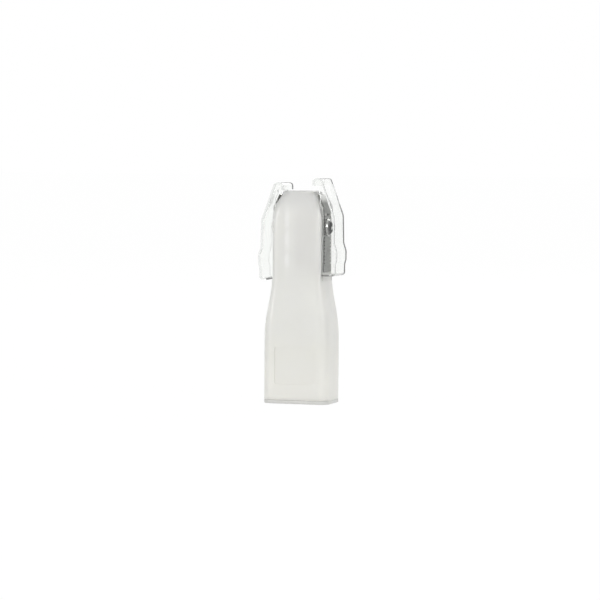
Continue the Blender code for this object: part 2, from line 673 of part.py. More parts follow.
def make_comb_blade(side, word, parent):
    """The formed steel strip: hooked in at the foot, flat along the neck and bent in over the chamfer."""
    inner_bend, along = chamfer_line(COMB_PROUD - COMB_THICKNESS)
    outer_bend, along = chamfer_line(COMB_PROUD)
    out = Vector((along.y, -along.x))
    foot_top_z = POCKET_BOTTOM_Z + RUNNING_GAP + COMB_THICKNESS
    foot_bottom_z = POCKET_BOTTOM_Z + RUNNING_GAP
    tip_inner = inner_bend + along * COMB_LIP_LENGTH
    tip_outer = tip_inner + out * COMB_THICKNESS
    outline = [
        (side * COMB_INNER_X, foot_bottom_z),
        (side * COMB_OUTER_X, foot_bottom_z),
        (side * outer_bend.x, outer_bend.y),
        (side * tip_outer.x, tip_outer.y),
        (side * tip_inner.x, tip_inner.y),
        (side * inner_bend.x, inner_bend.y),
    ]
    blade = add_object(
        f"{word}_comb_blade", prism(outline, "Y", -COMB_WIDTH / 2, COMB_WIDTH / 2), "blade_steel"
    )
    tab_x = sorted((side * (COMB_INNER_X - COMB_TAB_LENGTH), side * (COMB_INNER_X + COMB_THICKNESS / 2)))
    tab = box(tab_x, (-COMB_TAB_WIDTH / 2, COMB_TAB_WIDTH / 2), (foot_bottom_z, foot_top_z))
    combine(blade, add_cutter(f"add_{word}_comb_tab", tab), "UNION")
    slots = tooth_slots(side, COMB_WIDTH, COMB_INNER_X, COMB_OUTER_X)
    combine(blade, add_cutter(f"cut_{word}_comb_slots", slots), "DIFFERENCE")
    x_range = sorted((side * (COMB_INNER_X - COMB_THICKNESS), side * (COMB_OUTER_X + COMB_THICKNESS)))
    hole = prism(circle((0, SCREW_Z), SCREW_SHANK_RADIUS + SEAT_GAP), "X", x_range[0], x_range[1])
    combine(blade, add_cutter(f"cut_{word}_comb_hole", hole), "DIFFERENCE")
    window_z = SCREW_Z + COMB_WINDOW_ABOVE_SCREW
    half_height = COMB_WINDOW_HEIGHT / 2
    half_width = COMB_WINDOW_WIDTH / 2
    z_range = (window_z - half_height, window_z + half_height)
    window = box(x_range, (-half_width, half_width), z_range)
    combine(blade, add_cutter(f"cut_{word}_comb_window", window), "DIFFERENCE")
    place(blade, parent, (0, 0, 0))


def peg_heights():
    """The two heat-stake pegs of a carrier, either side of the drive hole."""
    return [CUTTER_BOTTOM_Z + PEG_INSET, (PIVOT_Z + SCREW_Z) / 2]


def make_cutter(side, word, parent):
    """The moving steel cutter behind the comb blade."""
    half_width = CUTTER_WIDTH / 2
    x_range = sorted((side * CUTTER_INNER_X, side * CUTTER_OUTER_X))
    cutter = add_object(
        f"{word}_cutter",
        box(x_range, (-half_width, half_width), (CUTTER_BOTTOM_Z, CUTTER_TOP_Z)),
        "bright_steel",
    )
    slots = tooth_slots(side, CUTTER_WIDTH, CUTTER_INNER_X, CUTTER_OUTER_X)
    combine(cutter, add_cutter(f"cut_{word}_cutter_slots", slots), "DIFFERENCE")
    through = (x_range[0] - CUTTER_THICKNESS, x_range[1] + CUTTER_THICKNESS)
    slot_half_width = BUSH_RADIUS + RUNNING_GAP
    guide = prism(
        slot_outline(slot_half_width + CUTTER_TRAVEL + RUNNING_GAP, slot_half_width, SCREW_Z), "X", *through
    )
    combine(cutter, add_cutter(f"cut_{word}_cutter_guide", guide), "DIFFERENCE")
    peg_holes = bmesh.new()
    for z in peg_heights():
        prism(circle((0, z), PEG_RADIUS + RUNNING_GAP, SMALL_ROUND_STEPS), "X", *through, peg_holes)
    combine(cutter, add_cutter(f"cut_{word}_peg_holes", peg_holes), "DIFFERENCE")
    place(cutter, parent, (side * CUTTER_INNER_X, 0, PIVOT_Z))


def make_carrier(side, word, parent):
    """The plastic slider behind the cutter, with the hole for the rocker's arm."""
    half_width = CARRIER_WIDTH / 2
    x_range = sorted((side * CARRIER_INNER_X, side * CARRIER_OUTER_X))
    carrier = add_object(
        f"{word}_cutter_carrier",
        box(x_range, (-half_width, half_width), (CUTTER_BOTTOM_Z, CUTTER_TOP_Z)),
        "drive_plastic",
    )
    pegs = bmesh.new()
    peg_root_x = CARRIER_OUTER_X - CARRIER_THICKNESS / 2
    peg_range = sorted((side * peg_root_x, side * (CUTTER_OUTER_X - RUNNING_GAP)))
    for z in peg_heights():
        prism(circle((0, z), PEG_RADIUS, SMALL_ROUND_STEPS), "X", peg_range[0], peg_range[1], pegs)
    combine(carrier, add_cutter(f"add_{word}_pegs", pegs), "UNION")
    through = (x_range[0] - CARRIER_THICKNESS, x_range[1] + CARRIER_THICKNESS / 4)
    if side < 0:
        through = (x_range[0] - CARRIER_THICKNESS / 4, x_range[1] + CARRIER_THICKNESS)
    slot_half_width = BUSH_RADIUS + RUNNING_GAP
    guide = prism(
        slot_outline(slot_half_width + CUTTER_TRAVEL + RUNNING_GAP, slot_half_width, SCREW_Z), "X", *through
    )
    combine(carrier, add_cutter(f"cut_{word}_carrier_guide", guide), "DIFFERENCE")
    half_depth = ARM_THICKNESS / 2 + RUNNING_GAP
    half_height = ARM_TIP_RADIUS + RUNNING_GAP
    drive_hole = box(through, (-half_depth, half_depth), (PIVOT_Z - half_height, PIVOT_Z + half_height))
    combine(carrier, add_cutter(f"cut_{word}_drive_hole", drive_hole), "DIFFERENCE")
    place(carrier, parent, (side * CUTTER_INNER_X, 0, PIVOT_Z))


def make_blade_spring(side, word, parent):
    """The bowed leaf round the bush: its middle bears on the pocket floor, its ends press the carrier out."""
    steps = 2 * ARC_STEPS
    bow = SPRING_SPACE - SPRING_THICKNESS - 2 * RUNNING_GAP
    lower, upper = [], []
    for step in range(steps + 1):
        run = 2 * step / steps - 1
        z = SCREW_Z + run * SPRING_LENGTH / 2
        x = POCKET_FLOOR_X + RUNNING_GAP + bow * run * run
        lower.append((side * x, z))
        upper.append((side * (x + SPRING_THICKNESS), z))
    outline = lower + list(reversed(upper))
    spring = add_object(
        f"{word}_blade_spring", prism(outline, "Y", -SPRING_WIDTH / 2, SPRING_WIDTH / 2), "spring_steel"
    )
    x_range = sorted((side * (POCKET_FLOOR_X - CUT_OVERRUN), side * CUTTER_OUTER_X))
    hole = prism(circle((0, SCREW_Z), BUSH_RADIUS + SEAT_GAP), "X", x_range[0], x_range[1])
    combine(spring, add_cutter(f"cut_{word}_spring_hole", hole), "DIFFERENCE")
    place(spring, parent, (0, 0, 0))


def make_bush(side, word, parent):
    """The flanged threaded bush that guides the cutter and takes the screw."""
    flange_x = CAVITY_WALL_X - RUNNING_GAP - BUSH_FLANGE_THICKNESS
    profile = [
        (BUSH_BORE, 0),
        (BUSH_FLANGE_RADIUS, 0),
        (BUSH_FLANGE_RADIUS, BUSH_FLANGE_THICKNESS),
        (BUSH_RADIUS, BUSH_FLANGE_THICKNESS),
        (BUSH_RADIUS, COMB_INNER_X - RUNNING_GAP - flange_x),
        (BUSH_BORE, COMB_INNER_X - RUNNING_GAP - flange_x),
    ]
    bush = turned(profile, (side * flange_x, 0, SCREW_Z), side, SMALL_ROUND_STEPS)
    place(add_object(f"{word}_blade_bush", bush, "brass"), parent, (0, 0, 0))


def make_blade_screw(side, word, parent):
    """The domed screw, with a cross recess, that clamps the comb blade to the bush."""
    seat_x = COMB_OUTER_X + SCREW_SEAT_GAP
    dome = [(SCREW_HEAD_RADIUS, 0), (SCREW_HEAD_RADIUS, SCREW_HEAD_RIM)]
    dome_height = SCREW_HEAD_HEIGHT - SCREW_HEAD_RIM
    for step in range(1, ARC_STEPS):
        angle = math.pi / 2 * step / ARC_STEPS
        dome.append((SCREW_HEAD_RADIUS * math.cos(angle), SCREW_HEAD_RIM + dome_height * math.sin(angle)))
    bm = bmesh.new()
    profile = [(SCREW_SHANK_RADIUS, -SCREW_SHANK_LENGTH), (SCREW_SHANK_RADIUS, 0)] + dome
    rings = []
    for radius, along in profile:
        ring = []
        for step in range(ROUND_STEPS):
            angle = 2 * math.pi * step / ROUND_STEPS
            y = radius * math.cos(angle)
            z = SCREW_Z + radius * math.sin(angle)
            ring.append(bm.verts.new((side * (seat_x + along), y, z)))
        rings.append(ring)
    for first, second in zip(rings, rings[1:]):
        for i in range(ROUND_STEPS):
            j = (i + 1) % ROUND_STEPS
            bm.faces.new((first[i], first[j], second[j], second[i]))
    bm.faces.new(list(reversed(rings[0])))
    bm.faces.new(rings[-1])
    screw = add_object(f"{word}_blade_screw", bm, "bright_steel")
    top_x = seat_x + SCREW_HEAD_HEIGHT
    x_range = sorted((side * (top_x - RECESS_DEPTH), side * (top_x + CUT_OVERRUN)))
    arm, half = RECESS_SPAN / 2, RECESS_WIDTH / 2
    cross = [
        (arm, -half), (arm, half), (half, half), (half, arm), (-half, arm), (-half, half),
        (-arm, half), (-arm, -half), (-half, -half), (-half, -arm), (half, -arm), (half, -half),
    ]
    outline = [(y, z + SCREW_Z) for y, z in cross]
    recess = prism(outline, "X", x_range[0], x_range[1])
    combine(screw, add_cutter(f"cut_{word}_screw_recess", recess), "DIFFERENCE")
    place(screw, parent, (0, 0, 0))


# Drive

def make_rocker(parent):
    """The see-saw: a hub on the pivot pin, two arms into the carriers and a forked tail for the drive pin."""
    half_hub = ROCKER_HUB_LENGTH / 2
    hub = prism(circle((0, PIVOT_Z), ROCKER_HUB_RADIUS, ROUND_STEPS), "Y", -half_hub, half_hub)
    rocker = add_object("rocker", hub, "drive_plastic")
    root_x = ROCKER_HUB_RADIUS / 2
    arms = [(-root_x, PIVOT_Z + ARM_ROOT_HEIGHT / 2)]
    arms += arc((-ARM_TIP_X, PIVOT_Z), ARM_TIP_RADIUS, 90, 270)
    arms += [(-root_x, PIVOT_Z - ARM_ROOT_HEIGHT / 2), (root_x, PIVOT_Z - ARM_ROOT_HEIGHT / 2)]
    arms += arc((ARM_TIP_X, PIVOT_Z), ARM_TIP_RADIUS, -90, 90)
    arms += [(root_x, PIVOT_Z + ARM_ROOT_HEIGHT / 2)]
    arm_bar = prism(arms, "Y", -ARM_THICKNESS / 2, ARM_THICKNESS / 2)
    combine(rocker, add_cutter("add_rocker_arms", arm_bar), "UNION")
    fork_bottom = LINER_TOP_Z + FORK_ABOVE_LINER
    fork_top = fork_bottom + FORK_HEIGHT
    tail = [
        (-TAIL_TOP_WIDTH / 2, PIVOT_Z - ROCKER_HUB_RADIUS / 2),
        (-TAIL_END_WIDTH / 2, fork_top - FORK_GAP / 4),
        (TAIL_END_WIDTH / 2, fork_top - FORK_GAP / 4),
        (TAIL_TOP_WIDTH / 2, PIVOT_Z - ROCKER_HUB_RADIUS / 2),
    ]
    tail_bar = prism(tail, "Y", -TAIL_THICKNESS / 2, TAIL_THICKNESS / 2)
    combine(rocker, add_cutter("add_rocker_tail", tail_bar), "UNION")
    prong = (FORK_WIDTH - FORK_GAP) / 2
    prong_x = (FORK_WIDTH + FORK_GAP) / 4
    fork = arc((-prong_x, fork_bottom + prong / 2), prong / 2, 180, 360)
    fork += arc((0, fork_bottom + FORK_DEPTH - FORK_GAP / 2), FORK_GAP / 2, 180, 0)
    fork += arc((prong_x, fork_bottom + prong / 2), prong / 2, 180, 360)
    fork += arc((FORK_WIDTH / 2 - prong, fork_top - prong), prong, 0, 90)
    fork += arc((-FORK_WIDTH / 2 + prong, fork_top - prong), prong, 90, 180)
    fork_block = prism(fork, "Y", -FORK_THICKNESS / 2, FORK_THICKNESS / 2)
    combine(rocker, add_cutter("add_rocker_fork", fork_block), "UNION")
    bore_end = ROCKER_HUB_LENGTH / 2 + CUT_OVERRUN
    bore = prism(circle((0, PIVOT_Z), PIN_RADIUS + RUNNING_GAP), "Y", -bore_end, bore_end)
    combine(rocker, add_cutter("cut_rocker_bore", bore), "DIFFERENCE")
    place(rocker, parent, (0, 0, PIVOT_Z))


def make_pivot(parent):
    """The steel pin that the two shells hold, and a thrust washer on each side of the rocker's hub."""
    pin = prism(circle((0, PIVOT_Z), PIN_RADIUS), "Y", -PIN_LENGTH / 2, PIN_LENGTH / 2)
    place(add_object("pivot_pin", pin, "bright_steel"), parent, (0, 0, 0))
    for front, word in ((-1, "front"), (1, "rear")):
        near = ROCKER_HUB_LENGTH / 2 + RUNNING_GAP
        y_range = sorted((front * near, front * (near + WASHER_THICKNESS)))
        disc = prism(circle((0, PIVOT_Z), WASHER_RADIUS), "Y", *y_range)
        washer = add_object(f"{word}_pivot_washer", disc, "drive_plastic")
        hole = prism(
            circle((0, PIVOT_Z), PIN_RADIUS + RUNNING_GAP),
            "Y",
            y_range[0] - WASHER_THICKNESS,
            y_range[1] + WASHER_THICKNESS,
        )
        combine(washer, add_cutter(f"cut_{word}_washer_hole", hole), "DIFFERENCE")
        place(washer, parent, (0, 0, 0))


# Guards

def fillet(corner, before, after, radius, steps=ARC_STEPS):
    """Points of an arc that rounds the corner between two straight runs of an outline."""
    corner, before, after = Vector(corner), Vector(before), Vector(after)
    first = (before - corner).normalized()
    second = (after - corner).normalized()
    half_angle = first.angle(second) / 2
    reach = min(radius / math.tan(half_angle), (before - corner).length / 2, (after - corner).length / 2)
    middle = (first + second).normalized()
    centre = corner + middle * (reach / math.cos(half_angle))
    start = corner + first * reach
    end = corner + second * reach
    radius_now = (start - centre).length
    points = []
    for step in range(steps + 1):
        direction = (start - centre).lerp(end - centre, step / steps).normalized()
        point = centre + direction * radius_now
        points.append((point.x, point.y))
    return points


def guard_outer_line(inset):
    """The guard's outer face from foot to hook end, or its inner face when inset by the web."""
    roof_z = BODY_TOP_Z + SEAT_GAP + GUARD_HOOK_HEIGHT
    top_x = SIDE_FACE_X - GUARD_TOP_RUN
    hook_end_x = SIDE_FACE_X - GUARD_HOOK_RUN
    knee = (SIDE_FACE_X + GUARD_KNEE_REACH - inset, CHAMFER_START_Z - GUARD_KNEE_BELOW_CHAMFER)
    slope_run = SIDE_FACE_X + GUARD_KNEE_REACH - top_x
    slope_rise = roof_z - knee[1]
    lean_inset = inset * (math.hypot(slope_run, slope_rise) - slope_run) / slope_rise
    top = (top_x - lean_inset, roof_z - inset)
    lower_z = GUARD_BOTTOM_Z + GUARD_GRIP_ABOVE_FOOT + GUARD_GRIP_HEIGHT + GUARD_GRIP_FADE
    lower = (SIDE_FACE_X + GUARD_LOWER_REACH - inset, lower_z)
    end = (hook_end_x + inset, roof_z - inset)
    points = [lower] + fillet(knee, lower, top, GUARD_TOP_RADIUS)
    points += fillet(top, knee, end, GUARD_TOP_RADIUS)
    return points + [end]


def guard_outline():
    """The whole side wall, as (x, z) points: outer face, hook and the edge that follows the housing."""
    foot_x = SIDE_FACE_X + GUARD_FOOT_REACH
    grip_x = SIDE_FACE_X + GUARD_GRIP_REACH
    grip_z = GUARD_BOTTOM_Z + GUARD_GRIP_ABOVE_FOOT
    inner_x = GROOVE_FLOOR_X + GUARD_GROOVE_FLOOR_GAP
    body_gap = SEAT_GAP + GUARD_GROOVE_FLOOR_GAP
    chamfer_share = (SIDE_FACE_X - inner_x + body_gap) / CHAMFER_RUN
    outline = [(inner_x, GUARD_BOTTOM_Z)]
    foot_centre = (foot_x - GUARD_FOOT_RADIUS, GUARD_BOTTOM_Z + GUARD_FOOT_RADIUS)
    outline += arc(foot_centre, GUARD_FOOT_RADIUS, -90, 0)
    outer_line = guard_outer_line(0)
    below_grip = (foot_x, grip_z - GUARD_GRIP_STEP)
    grip_low = (grip_x, grip_z)
    grip_high = (grip_x, grip_z + GUARD_GRIP_HEIGHT)
    outline.append(below_grip)
    outline += fillet(grip_low, below_grip, grip_high, GUARD_GRIP_RADIUS)
    outline += fillet(grip_high, grip_low, outer_line[0], GUARD_GRIP_RADIUS)
    hook_foot = (SIDE_FACE_X - GUARD_HOOK_RUN, BODY_TOP_Z + SEAT_GAP)
    outline += outer_line[:-1]
    outline += fillet(outer_line[-1], outer_line[-2], hook_foot, GUARD_HOOK_RADIUS)
    outline.append(hook_foot)
    outline.append((SIDE_FACE_X - CHAMFER_RUN + body_gap, BODY_TOP_Z + SEAT_GAP))
    outline.append((SIDE_FACE_X - CHAMFER_RUN + body_gap, CROWN_START_Z))
    outline.append((inner_x, CHAMFER_START_Z + CHAMFER_RISE * chamfer_share))
    return outline


def guard_hollow():
    """The space inside a guard, open towards the housing and at the foot."""
    lower = (SIDE_FACE_X + GUARD_LOWER_REACH - GUARD_WEB, GUARD_BOTTOM_Z - CUT_OVERRUN)
    line = [lower] + guard_outer_line(GUARD_WEB)
    end = line[-1]
    below_hook = (end[0], BODY_TOP_Z + SEAT_GAP - CUT_OVERRUN)
    inner_x = GROOVE_FLOOR_X - CUT_OVERRUN
    return line + [below_hook, (inner_x, CHAMFER_START_Z), (inner_x, GUARD_BOTTOM_Z - CUT_OVERRUN)]


def make_guard(side, word, parent, lift):
    outline = [(side * x, z + lift) for x, z in guard_outline()]
    block = prism(outline, "Y", -GUARD_DEPTH / 2, GUARD_DEPTH / 2)
    guard = add_object(f"{word}_guard", block, "clear_plastic")
    half = GUARD_DEPTH / 2 - GUARD_SIDE_WALL
    hollow = prism([(side * x, z + lift) for x, z in guard_hollow()], "Y", -half, half)
    combine(guard, add_cutter(f"cut_{word}_guard_hollow", hollow), "DIFFERENCE")
    place(guard, parent, (side * SIDE_FACE_X, 0, GUARD_BOTTOM_Z + lift))


# Assembly

def main():
    clear_scene()
    housing = body_empty("housing", (0, 0, 0))
    make_housing(housing)
    make_mouth_ring(housing)
    make_socket_liner(housing)
    make_pivot(housing)
    rocker = body_empty("rocker_body", (0, 0, PIVOT_Z))
    rocker.parent = housing
    make_rocker(rocker)
    for side, word in ((-1, "left"), (1, "right")):
        make_comb_blade(side, word, housing)
        make_blade_spring(side, word, housing)
        make_bush(side, word, housing)
        make_blade_screw(side, word, housing)
        cutter_body = body_empty(f"{word}_cutter_body", (side * CUTTER_INNER_X, 0, PIVOT_Z))
        cutter_body.parent = housing
        make_cutter(side, word, cutter_body)
        make_carrier(side, word, cutter_body)
        lift = RIGHT_GUARD_LIFT if side > 0 else 0
        guard_body = body_empty(f"{word}_guard_body", (side * SIDE_FACE_X, 0, GUARD_BOTTOM_Z + lift))
        guard_body.parent = housing
        make_guard(side, word, guard_body, lift)
    bpy.context.view_layer.update()


main()
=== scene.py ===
import math

import bmesh
import bpy
from mathutils import Matrix, Vector


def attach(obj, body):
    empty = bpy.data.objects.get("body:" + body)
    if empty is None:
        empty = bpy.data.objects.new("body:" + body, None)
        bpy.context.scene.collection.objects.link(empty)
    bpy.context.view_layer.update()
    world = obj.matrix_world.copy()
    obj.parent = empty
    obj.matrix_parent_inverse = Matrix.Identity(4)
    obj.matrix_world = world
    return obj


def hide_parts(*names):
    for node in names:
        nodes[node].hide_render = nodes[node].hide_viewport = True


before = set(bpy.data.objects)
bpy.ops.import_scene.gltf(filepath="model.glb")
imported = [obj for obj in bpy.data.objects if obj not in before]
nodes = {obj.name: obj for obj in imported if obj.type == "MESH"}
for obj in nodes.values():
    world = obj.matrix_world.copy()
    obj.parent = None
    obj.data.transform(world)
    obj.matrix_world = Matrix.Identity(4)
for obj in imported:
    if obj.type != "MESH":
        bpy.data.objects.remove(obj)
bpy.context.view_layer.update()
mm = 0.001
print("stage: frame loaded with", len(nodes), "nodes")


def newObject(name, bm, material, smoothAngle):
    bmesh.ops.recalc_face_normals(bm, faces=bm.faces)
    mesh = bpy.data.meshes.new(name)
    bm.to_mesh(mesh)
    bm.free()
    obj = bpy.data.objects.new(name, mesh)
    bpy.context.scene.collection.objects.link(obj)
    mesh.materials.append(material)
    smoothFaces(mesh, smoothAngle)
    return obj


def smoothFaces(mesh, angle):  # edges steeper than the angle stay sharp
    mesh.shade_smooth()
    mesh.set_sharp_from_angle(angle=math.radians(angle))


def handOver(obj, body, nodeName):  # the piece rides on its body and stands in for its solid
    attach(obj, body)
    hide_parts(nodeName)


def applyModifiers(obj):  # writes the modifiers into the mesh, so that the cutting tools can be removed
    depsgraph = bpy.context.evaluated_depsgraph_get()
    baked = bpy.data.meshes.new_from_object(obj.evaluated_get(depsgraph))
    obj.modifiers.clear()
    obj.data = baked


def subtract(obj, toolMeshes):
    tools = []
    for i, bm in enumerate(toolMeshes):
        bmesh.ops.recalc_face_normals(bm, faces=bm.faces)
        mesh = bpy.data.meshes.new("tool")
        bm.to_mesh(mesh)
        bm.free()
        tool = bpy.data.objects.new("tool", mesh)
        bpy.context.scene.collection.objects.link(tool)
        modifier = obj.modifiers.new(f"tool{i}", "BOOLEAN")
        modifier.operation = "DIFFERENCE"
        modifier.object = tool
        modifier.solver = "EXACT"
        tools.append(tool)
    applyModifiers(obj)
    for tool in tools:
        bpy.data.objects.remove(tool)


def roundEdges(obj, width, segments, angle):
    bevel = obj.modifiers.new("roundedEdges", "BEVEL")
    bevel.width = width
    bevel.segments = segments
    bevel.limit_method = "ANGLE"
    bevel.angle_limit = math.radians(angle)
    bevel.use_clamp_overlap = True


def closeRings(bm, low, high):  # one band of faces between two rings of points
    for i in range(len(low)):
        j = (i + 1) % len(low)
        bm.faces.new((low[i], low[j], high[j], high[i]))


def extrude(outline, low, high):  # from an outline in (x, z), along Y
    bm = bmesh.new()
    near = [bm.verts.new((x, low, z)) for x, z in outline]
    far = [bm.verts.new((x, high, z)) for x, z in outline]
    closeRings(bm, near, far)
    bm.faces.new(list(reversed(near)))
    bm.faces.new(far)
    return bm


def arcPoints(centre, radius, startDeg, endDeg, steps):
    turns = [math.radians(startDeg + (endDeg - startDeg) * i / steps) for i in range(steps + 1)]
    return [(centre[0] + radius * math.cos(turn), centre[1] + radius * math.sin(turn)) for turn in turns]


def filletPoints(corner, before, after, radius, steps):  # rounds one corner of a line
    longest = 0.49  # share of each neighbouring edge that the rounding may take
    corner, before, after = Vector(corner), Vector(before), Vector(after)
    first, second = (before - corner).normalized(), (after - corner).normalized()
    half = first.angle(second) / 2
    room = [(neighbour - corner).length * longest for neighbour in (before, after)]
    reach = min(radius / math.tan(half), *room)
    centre = corner + (first + second).normalized() * (reach / math.cos(half))
    start, end = corner + first * reach - centre, corner + second * reach - centre
    points = []
    for i in range(steps + 1):
        direction = start.lerp(end, i / steps).normalized()
        points.append(tuple(centre + direction * start.length))
    return points


def roundedRing(width, depth, corner, steps):  # rectangle with rounded corners, round the origin
    ring = []
    corner = min(corner, width / 2, depth / 2)
    for quadrant, (sx, sy) in enumerate([(1, 1), (-1, 1), (-1, -1), (1, -1)]):
        centre = (sx * (width / 2 - corner), sy * (depth / 2 - corner))
        ring += arcPoints(centre, corner, 90 * quadrant, 90 * quadrant + 90, steps)
    return ring


def socketNode(tree, kind, x, y, **inputs):
    node = tree.nodes.new(kind)
    node.location = (x, y)
    for key, value in inputs.items():
        node.inputs[key.replace("_", " ")].default_value = value
    return node


def newGroup(name, inputs, outputs):
    group = bpy.data.node_groups.new(name, "ShaderNodeTree")
    for label, value, low, high in inputs:
        socket = group.interface.new_socket(label, in_out="INPUT", socket_type="NodeSocketFloat")
        socket.default_value, socket.min_value, socket.max_value = value, low, high
    for label in outputs:
        group.interface.new_socket(label, in_out="OUTPUT", socket_type="NodeSocketFloat")
    start = group.nodes.new("NodeGroupInput")
    start.location = (-1200, 0)
    end = group.nodes.new("NodeGroupOutput")
    end.location = (800, 0)
    return group, start, end


def rangeNode(tree, x, y, source, fromLow, fromHigh, toLow=0.0, toHigh=1.0, smooth=False):
    node = tree.nodes.new("ShaderNodeMapRange")
    node.location = (x, y)
    if smooth:
        node.interpolation_type = "SMOOTHSTEP"
    node.inputs["From Min"].default_value = fromLow
    node.inputs["From Max"].default_value = fromHigh
    node.inputs["To Min"].default_value = toLow
    node.inputs["To Max"].default_value = toHigh
    tree.links.new(source, node.inputs["Value"])
    return node.outputs["Result"]


def fadeNode(tree, x, y, source, start, full):  # rises softly from 0 to 1
    return rangeNode(tree, x, y, source, start, full, 0.0, 1.0, True)


def noiseNode(tree, x, y, vector, scale, detail, roughness, distortion=0.0):
    grain = {"Detail": detail, "Roughness": roughness, "Distortion": distortion}
    node = socketNode(tree, "ShaderNodeTexNoise", x, y, **grain)
    tree.links.new(vector, node.inputs["Vector"])
    if isinstance(scale, float):
        node.inputs["Scale"].default_value = scale
    else:
        tree.links.new(scale, node.inputs["Scale"])
    return node


def mathNode(tree, x, y, operation, first, second=None):
    node = tree.nodes.new("ShaderNodeMath")
    node.location = (x, y)
    node.operation = operation
    for slot, value in enumerate((first, second)):
        if value is None:
            continue
        if isinstance(value, (int, float)):
            node.inputs[slot].default_value = value
        else:
            tree.links.new(value, node.inputs[slot])
    return node.outputs[0]


def buildMouldedSkin():  # the faint pebble, flow lines and cloud of an injection-moulded face
    inputs = [
        # label, value, lowest, highest
        ("Pebble Scale", 4200, 0, 20000), ("Flow Stretch", 6, 1, 40),
        ("Cloud Scale", 160, 0, 4000), ("Scuff Amount", 0.3, 0, 1),
    ]
    group, start, end = newGroup("mouldedSkin", inputs, ["Height", "Cloud", "Flow", "Scuff"])
    links = group.links
    coords = group.nodes.new("ShaderNodeTexCoord")
    coords.location = (-1200, 300)
    pebble = noiseNode(group, -800, 300, coords.outputs["Object"], start.outputs["Pebble Scale"], 3.0, 0.55)
    squeeze = group.nodes.new("ShaderNodeCombineXYZ")
    squeeze.location = (-1000, 0)
    squeeze.inputs[0].default_value = 1.0
    squeeze.inputs[1].default_value = 1.0
    links.new(mathNode(group, -1180, -60, "DIVIDE", 1.0, start.outputs["Flow Stretch"]), squeeze.inputs[2])
    stretched = group.nodes.new("ShaderNodeVectorMath")
    stretched.location = (-820, 0)
    stretched.operation = "MULTIPLY"
    links.new(coords.outputs["Object"], stretched.inputs[0])
    links.new(squeeze.outputs[0], stretched.inputs[1])
    flow = noiseNode(group, -620, 0, stretched.outputs[0], 900.0, 4.0, 0.5, 0.4)
    cloud = noiseNode(group, -620, -300, coords.outputs["Object"], start.outputs["Cloud Scale"], 3.0, 0.5)
    scratch = noiseNode(group, -620, -600, stretched.outputs[0], 2600.0, 6.0, 0.7, 1.2)
    scuffMask = fadeNode(group, -380, -600, scratch.outputs["Fac"], 0.6, 0.75)
    patch = fadeNode(group, -380, -300, cloud.outputs["Fac"], 0.45, 0.62)
    scuffPatch = mathNode(group, -200, -700, "MULTIPLY", scuffMask, patch)
    scuff = mathNode(group, -120, -600, "MULTIPLY", scuffPatch, start.outputs["Scuff Amount"])
    flowShare = rangeNode(group, -380, 0, flow.outputs["Fac"], 0.3, 0.7, 0.0, 1.0)
    pebbleHeight = mathNode(group, -160, 300, "MULTIPLY", pebble.outputs["Fac"], 0.6)
    flowHeight = mathNode(group, -160, 100, "MULTIPLY", flowShare, 0.4)
    scuffDepth = mathNode(group, 60, -500, "MULTIPLY", scuff, 0.5)
    height = mathNode(group, 0, 200, "ADD", pebbleHeight, flowHeight)
    links.new(mathNode(group, 200, 200, "SUBTRACT", height, scuffDepth), end.inputs["Height"])
    links.new(rangeNode(group, -120, -300, cloud.outputs["Fac"], 0.3, 0.7), end.inputs["Cloud"])
    links.new(flowShare, end.inputs["Flow"])
    links.new(scuff, end.inputs["Scuff"])
    return group


def buildGroundMetal():  # grinding lines along one direction, rub marks and faint stain
    inputs = [
        ("Line Scale", 5200, 0, 40000), ("Line Stretch", 30, 1, 200),
        ("Across", 0, 0, 1), ("Stain Scale", 420, 0, 8000),
    ]
    group, start, end = newGroup("groundMetal", inputs, ["Height", "Lines", "Rub", "Stain"])
    links = group.links
    coords = group.nodes.new("ShaderNodeTexCoord")
    coords.location = (-1400, 300)
    shrink = mathNode(group, -1200, -60, "DIVIDE", 1.0, start.outputs["Line Stretch"])
    alongZ = group.nodes.new("ShaderNodeCombineXYZ")
    alongZ.location = (-1000, 60)
    alongZ.inputs[0].default_value = alongZ.inputs[1].default_value = 1.0
    links.new(shrink, alongZ.inputs[2])
    alongY = group.nodes.new("ShaderNodeCombineXYZ")
    alongY.location = (-1000, -120)
    alongY.inputs[0].default_value = alongY.inputs[2].default_value = 1.0
    links.new(shrink, alongY.inputs[1])
    pick = group.nodes.new("ShaderNodeMix")
    pick.location = (-820, 0)
    pick.data_type = "VECTOR"
    links.new(start.outputs["Across"], pick.inputs["Factor"])
    vectorIn = [s for s in pick.inputs if s.type == "VECTOR"]
    links.new(alongZ.outputs[0], vectorIn[0])
    links.new(alongY.outputs[0], vectorIn[1])
    stretched = group.nodes.new("ShaderNodeVectorMath")
    stretched.location = (-640, 0)
    stretched.operation = "MULTIPLY"
    links.new(coords.outputs["Object"], stretched.inputs[0])
    links.new([s for s in pick.outputs if s.type == "VECTOR"][0], stretched.inputs[1])
    lines = noiseNode(group, -440, 100, stretched.outputs[0], start.outputs["Line Scale"], 5.0, 0.65)
    rubNoise = noiseNode(group, -440, -200, coords.outputs["Object"], 1500.0, 4.0, 0.6, 0.8)
    stainScale = start.outputs["Stain Scale"]
    stainNoise = noiseNode(group, -440, -460, coords.outputs["Object"], stainScale, 4.0, 0.6, 0.5)
    lineShare = rangeNode(group, -200, 100, lines.outputs["Fac"], 0.28, 0.72)
    links.new(lineShare, end.inputs["Lines"])
    links.new(fadeNode(group, -200, -200, rubNoise.outputs["Fac"], 0.52, 0.7), end.inputs["Rub"])
    links.new(fadeNode(group, -200, -460, stainNoise.outputs["Fac"], 0.4, 0.7), end.inputs["Stain"])
    links.new(lineShare, end.inputs["Height"])
    return group


